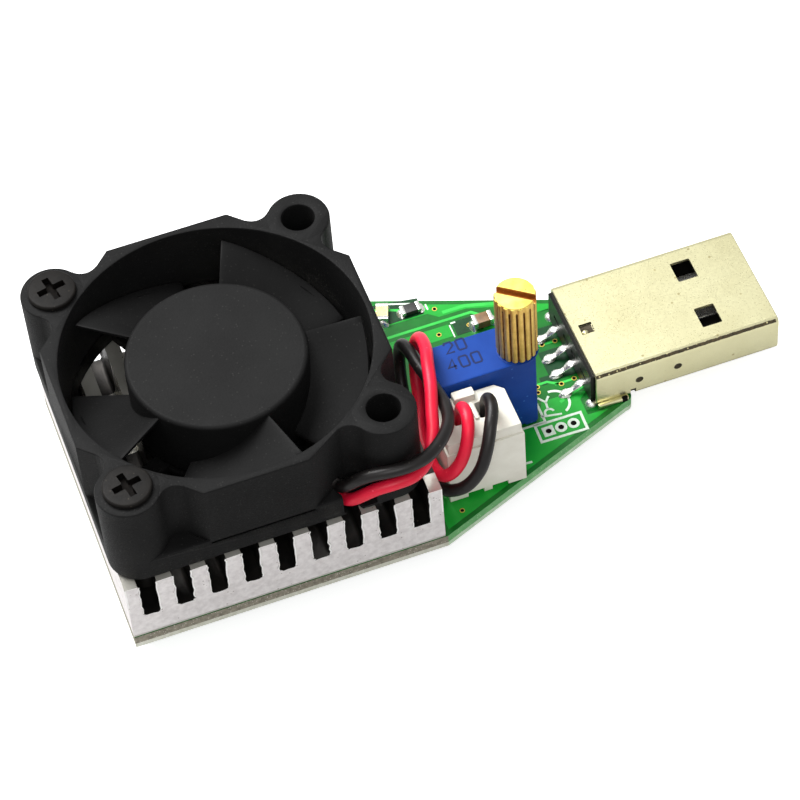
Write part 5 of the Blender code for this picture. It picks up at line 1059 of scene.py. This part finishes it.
def makeKnob():
    # a fluted trunk up to the slot's floor and two halves above it
    k = knob
    angle = np.linspace(0, 2 * np.pi, k["flutes"] * 14, endpoint=False)
    radius = fluteRadius(angle)
    loop = np.column_stack([radius * np.cos(angle), radius * np.sin(angle)])
    floor = k["top"] - k["slotDepth"]
    trunk = prism([loop], softLevels(k["bottom"], floor, 0.0, lowEdge=0.15))
    halves = []
    for side in (0, 1):
        mid = math.radians(90 + 180 * side)
        reach = math.acos(k["slot"] / 2 / k["crest"])
        a = np.linspace(mid - reach, mid + reach, k["flutes"] * 8)
        rr = fluteRadius(a + math.radians(k["turn"]))
        part = np.column_stack([rr * np.cos(a), rr * np.sin(a)])
        part[0, 1] = part[-1, 1] = k["slot"] / 2 * (1 if side == 0 else -1)
        halves.append(turned(prism([part], softLevels(floor - 0.05, k["top"] - 0.1, 0.1, lowEdge=0)), k["turn"]))
        smooth = (k["root"] * 0.35 + k["crest"] * 0.65) * np.column_stack([np.cos(a), np.sin(a)])
        smooth[0, 1] = smooth[-1, 1] = part[0, 1]
        halves.append(turned(prism([smooth], softLevels(floor + 0.1, k["top"], 0.06, lowEdge=0)), k["turn"]))
    shapes = [shifted(shape, k["x"], k["y"]) for shape in [trunk] + halves]
    piece = makePiece("trimmerKnob", shapes, [brassBright, brassFaceHighlight, brassGrooveShade, brassSlotShade], body="adjuster",
                      sharp=30, pick=knobFinishAndPaintedLight)
    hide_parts("trimmer_knob")


makeTrimmer()
makeKnob()
print("trimmer made")


# fan header and the plug in it

header = {"left": 17.5, "right": 25.1, "front": -12.415, "back": -6.815, "bottom": 1.7, "top": 8.9, "wall": 0.7,
          "corner": 0.9}
plug = {"inset": 0.2, "low": 2.8, "capLow": 9.0, "capTop": 10.2, "tabLeft": 19.85, "tabRight": 21.95, "tabTop": 11.0}


def makeHeader():
    h = header
    c = h["corner"]
    outer = np.array([(h["left"], h["front"]), (h["right"], h["front"]), (h["right"], h["back"] - c),
                      (h["right"] - c, h["back"]), (h["left"] + c, h["back"]), (h["left"], h["back"] - c)])
    inner = roundedRect(h["left"] + h["wall"], h["right"] - h["wall"], h["front"] + h["wall"], h["back"] - h["wall"],
                        0.1, 2)[::-1]
    walls = prism([outer, inner], softLevels(h["bottom"], h["top"], 0.1))
    floor = block(h["left"] + 0.3, h["right"] - 0.3, h["front"] + 0.3, h["back"] - 0.3, h["bottom"] + 0.05, 2.7)
    piece = makePiece("fanHeader", [walls, floor], nylonWhite)
    keys = [block(x - 0.45, x + 0.45, h["back"] - 1.2, h["back"] + 1.0, h["top"] - 2.0, h["top"] + 1, 0.02, 0.01)
            for x in (19.8, 22.8)]
    gaps = [block(x - 0.8, x + 0.8, h["front"] - 1, h["front"] + 0.9, h["bottom"] - 1, h["bottom"] + 0.62, 0.02, 0.01)
            for x in (20.1, 22.5)]
    cutAway(piece, keys + gaps)
    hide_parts("fan_header")


def makePlug():
    h, p = header, plug
    x0, x1 = h["left"] + p["inset"], h["right"] - p["inset"]
    y0, y1 = h["front"] + p["inset"], h["back"] - p["inset"]
    c = h["corner"] - 0.1
    outline = np.array([(x0, y0), (x1, y0), (x1, y1 - c), (x1 - c, y1), (x0 + c, y1), (x0, y1 - c)])
    wells = [roundedRect(x - 0.9, x + 0.9, -9.315 - 0.9, -9.315 + 0.9, 0.15, 3)[::-1] for x in (20.05, 22.55)]
    cap = prism([outline] + wells, softLevels(p["capLow"] - 0.6, p["capTop"], 0.14))
    tab = block(p["tabLeft"], p["tabRight"], y1 - 1.0, y1, p["capTop"] - 0.5, p["tabTop"], 0.15, 0.1)
    wall = block(21.1, 21.5, -10.3, -8.3, p["capTop"] - 0.4, p["capTop"] + 0.25, 0.1, 0.08)
    core = block(h["left"] + 0.9, h["right"] - 0.9, h["front"] + 0.9, h["back"] - 0.9, 2.9, 7.4)
    # painted shade: dark bottoms in the plug's wells
    wells = [block(x - 0.88, x + 0.88, -9.315 - 0.88, -9.315 + 0.88, 7.35, 7.5, 0.1, 0.02) for x in (20.05, 22.55)]
    piece = makePiece("fanPlug", [cap, tab, wall, core], nylonWhite)
    makePiece("fanPlugWells", wells, paintedShade)
    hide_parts("fan_plug")
    return piece


makeHeader()
fanPlug = makePlug()
print("header and plug made")


# USB shell

usb = {"left": 34.295, "right": 53.045, "low": -7.05, "high": 4.95, "bottom": 1.7, "top": 6.2, "wall": 0.3,
       "corner": 0.6, "windowX": 46.945, "windowY": (1.95, -4.05), "dimples": ((38.7, 3.8), (42.65, 3.95))}


def shellShadeMask(centre, normal):
    # 1, painted shade, on the walls that face inwards, on the far walls of the dents and in the dimples' rings
    u = usb
    inX = (centre[:, 0] > u["left"] + 0.02) & (centre[:, 0] < u["right"] - 0.02)
    inY = (centre[:, 1] > u["low"] + 0.16) & (centre[:, 1] < u["high"] - 0.16)
    inZ = (centre[:, 2] > u["bottom"] + 0.16) & (centre[:, 2] < u["top"] - 0.16)
    dent = (centre[:, 0] < 36.6) & (centre[:, 0] > 34.9) & (centre[:, 2] > u["top"] - 0.26)
    dark = inX & inY & (inZ & ~dent | dent & (normal[:, 0] < -0.5) | dent & (normal[:, 1] < -0.5))
    for x, z in u["dimples"]:
        r = np.hypot(centre[:, 0] - x, centre[:, 2] - z)
        dark |= (r < 0.44) & (r > 0.2) & (centre[:, 1] > u["low"] + 0.012) & (centre[:, 1] < u["low"] + 0.3)
    return dark


def makeShell():
    # the section in y and z, a rounded tube, carried along X with both lips rounded
    u = usb
    arcs = 6
    outer = roundedRect(u["low"], u["high"], u["bottom"], u["top"], u["corner"], arcs)
    inner = roundedRect(u["low"] + u["wall"], u["high"] - u["wall"], u["bottom"] + u["wall"], u["top"] - u["wall"],
                        u["corner"] - u["wall"], arcs)
    stations = [(u["left"] + 0.0, inner, 0.0), (u["left"], outer, 0.06), (u["left"] + 0.06, outer, 0.0),
                (u["right"] - 0.14, outer, 0.0), (u["right"] - 0.04, outer, 0.05), (u["right"], outer, 0.14),
                (u["right"], inner, -0.06), (u["right"] - 0.1, inner, 0.0)]
    rings = []
    for x, loop, inset in stations:
        ring = insetLoop(loop, inset)
        rings.append(np.column_stack([np.full(len(ring), x), ring]))
    count = len(rings[0])
    faces = gridFaces(len(rings), count, True, True)
    shape = (np.vstack(rings), [faces])
    piece = makePiece("plugShell", [shape], [shellPlating, shellShade], sharp=40, turnOut=True)
    cutters = [block(u["windowX"] - 1.0, u["windowX"] + 1.0, y - 1.2, y + 1.2, lowZ, lowZ + 1.4, 0.12, 0.02)
               for y in u["windowY"] for lowZ in (u["top"] - 0.7, u["bottom"] - 0.7)]
    upright = Matrix.Rotation(math.radians(90), 4, "X")
    for x, z in u["dimples"]:
        pit = lathe([(0.0, -0.2), (0.15, -0.19), (0.3, -0.12), (0.42, 0.02), (0.5, 0.2), (0.0, 0.2)], count=28)
        cutters.append(moved(pit, Matrix.Translation((x, u["low"], z)) @ upright))
    cutters.append(block(35.0, 36.3, -1.8, -0.55, u["top"] - 0.26, u["top"] + 0.5, 0.05, 0.02))
    cutters.append(block(37.8, 38.35, u["low"] - 0.5, u["low"] + 0.5, u["bottom"] - 0.5, u["bottom"] + 0.95, 0.04, 0.02))
    cutAway(piece, cutters)
    pickFinish(piece.data, "board", shellShadeMask)
    legs = [block(35.495, 36.695, y - 0.14, y + 0.14, 0.2, 3.0, 0.1, 0.05) for y in (4.80, -6.90)]
    legs.append(block(34.4, 37.5, -7.46, -7.0, 1.65, 2.15, 0.15, 0.12))
    legs.append(dome(35.4, -1.4, u["top"] - 0.27, 0.36, 0.3, 0.24))
    makePiece("shellLegs", legs, shellPlating)
    # painted shade: a dark block at the strap's end
    makePiece("shellStrapEnd", [block(36.75, 37.4, -7.49, -7.1, 1.62, 2.18, 0.15, 0.1)], paintedShade)
    x = np.linspace(u["left"] + 0.06, u["right"] - 0.3, 110)
    wave = 0.012 * np.sin(x * 5.3) + 0.01 * np.sin(x * 13.7 + 1)
    z = u["top"] - u["corner"] * (1 - math.cos(math.radians(50)))
    y = u["low"] + u["corner"] * (1 - math.sin(math.radians(50)))
    turn = math.radians(50)
    across, out = np.array([0, -math.cos(turn), -math.sin(turn)]), np.array([0, -math.sin(turn), math.cos(turn)])
    rows = []
    for s, lift in ((-0.17, -0.02), (-0.14, 0.012), (0.14, 0.012), (0.17, -0.02)):
        base = np.column_stack([x, np.full(len(x), y), np.full(len(x), z)])
        rows.append(base + np.outer(s + wave, across) + out * lift)
    seamPoints = np.stack(rows, axis=1).reshape(-1, 3)
    seam = (seamPoints, [gridFaces(len(x), 4)])
    makePiece("shellFold", [seam], shellSeam, turnOut=True)
    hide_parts("usb_shell")


makeShell()
print("plug shell made")

for nodeName, material in (
        ("rotor_yoke", steelPlain), ("rotor_magnet", blackNylon), ("rotor_shaft", steelPlain), ("shaft_clip", steelPlain),
        ("sleeve_bearing", copperWire), ("stator_core", steelPlain), ("winding_1", copperWire),
        ("winding_2", copperWire), ("winding_3", copperWire), ("winding_4", copperWire), ("motor_board", greenMask),
        ("thermal_adhesive", greyPaste), ("trimmer_screw", brassBright), ("trimmer_pin_1", solderTin),
        ("trimmer_pin_2", solderTin), ("trimmer_pin_3", solderTin), ("header_pin_1", solderTin),
        ("header_pin_2", solderTin), ("crimp_contact_1", solderTin), ("crimp_contact_2", solderTin),
        ("usb_insulator", blackNylon), ("power_transistor", chipBlack),
        ("amplifier_chip", chipBlack), ("voltage_reference", chipBlack)):
    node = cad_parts[nodeName]
    node.data.materials.clear()
    node.data.materials.append(material)
print("inner pieces finished")


# floor, light and background

studio = {"floorPaint": 0.6, "floorSeen": 0.74, "floorMirrored": 0.08, "world": 0.42, "worldMirrored": 0.95,
          "top": 4.1, "front": 0.65}


def lit(name):
    # plain floor: pale paint, with light of its own that only camera, glass and mirror rays see
    material = bpy.data.materials.new(name)
    material.use_nodes = True
    nodes, links = material.node_tree.nodes, material.node_tree.links
    nodes.clear()
    out, add = nodes.new("ShaderNodeOutputMaterial"), nodes.new("ShaderNodeAddShader")
    paint, glow = nodes.new("ShaderNodeBsdfDiffuse"), nodes.new("ShaderNodeEmission")
    p = studio["floorPaint"]
    paint.inputs["Color"].default_value = (p, p, p, 1)
    path = nodes.new("ShaderNodeLightPath")
    either, seen, total = (nodes.new("ShaderNodeMath") for _ in range(3))
    either.operation = "MAXIMUM"
    links.new(path.outputs["Is Camera Ray"], either.inputs[0])
    links.new(path.outputs["Is Transmission Ray"], either.inputs[1])
    seen.operation = "MULTIPLY"
    seen.inputs[1].default_value = studio["floorSeen"]
    links.new(either.outputs[0], seen.inputs[0])
    total.operation = "MULTIPLY_ADD"
    total.inputs[1].default_value = studio["floorMirrored"]
    links.new(path.outputs["Is Glossy Ray"], total.inputs[0])
    links.new(seen.outputs[0], total.inputs[2])
    links.new(total.outputs[0], glow.inputs["Strength"])
    links.new(paint.outputs[0], add.inputs[0])
    links.new(glow.outputs[0], add.inputs[1])
    links.new(add.outputs[0], out.inputs["Surface"])
    return material


def makeStage():
    ground = bpy.data.meshes.new("floor")
    z = -5.46 * mm
    ground.from_pydata([(-1.5, -1.5, z), (1.5, -1.5, z), (1.5, 1.5, z), (-1.5, 1.5, z)], [], [(0, 1, 2, 3)])
    floor = bpy.data.objects.new("floor", ground)
    bpy.context.scene.collection.objects.link(floor)
    ground.materials.append(lit("floorWhite"))


def makeLights():
    # the world is white to the eye and to mirrors, and gives a softer light to matt surfaces
    world = bpy.context.scene.world or bpy.data.worlds.new("studio")
    bpy.context.scene.world = world
    world.use_nodes = True
    nodes, links = world.node_tree.nodes, world.node_tree.links
    nodes.clear()
    out, back = nodes.new("ShaderNodeOutputWorld"), nodes.new("ShaderNodeBackground")
    path, either, seen, mirrored = (nodes.new("ShaderNodeLightPath"), nodes.new("ShaderNodeMath"),
                                    nodes.new("ShaderNodeMapRange"), nodes.new("ShaderNodeMath"))
    either.operation = "MAXIMUM"
    links.new(path.outputs["Is Camera Ray"], either.inputs[0])
    links.new(path.outputs["Is Transmission Ray"], either.inputs[1])
    seen.inputs["To Min"].default_value = studio["world"]
    seen.inputs["To Max"].default_value = 1.0
    links.new(either.outputs[0], seen.inputs["Value"])
    mirrored.operation = "MULTIPLY_ADD"
    mirrored.inputs[1].default_value = studio["worldMirrored"] - studio["world"]
    links.new(path.outputs["Is Glossy Ray"], mirrored.inputs[0])
    links.new(seen.outputs["Result"], mirrored.inputs[2])
    links.new(mirrored.outputs[0], back.inputs["Strength"])
    links.new(back.outputs[0], out.inputs["Surface"])
    for name, place, size, energy in (("lampTop", (-0.16, 0.20, 0.40), 0.30, studio["top"]),
                                      ("lampFront", (-0.10, -0.27, 0.34), 0.20, studio["front"])):
        lamp = bpy.data.lights.new(name, "AREA")
        lamp.shape = "SQUARE"
        lamp.size = size
        lamp.energy = energy
        holder = bpy.data.objects.new(name, lamp)
        bpy.context.scene.collection.objects.link(holder)
        aim = Vector((-0.035, 0.0, 0.0)) - Vector(place)
        holder.matrix_world = Matrix.Translation(place) @ aim.to_track_quat("-Z", "Y").to_matrix().to_4x4()


makeStage()
makeLights()
bpy.context.scene.view_settings.view_transform = "Standard"
print("stage and lights set")
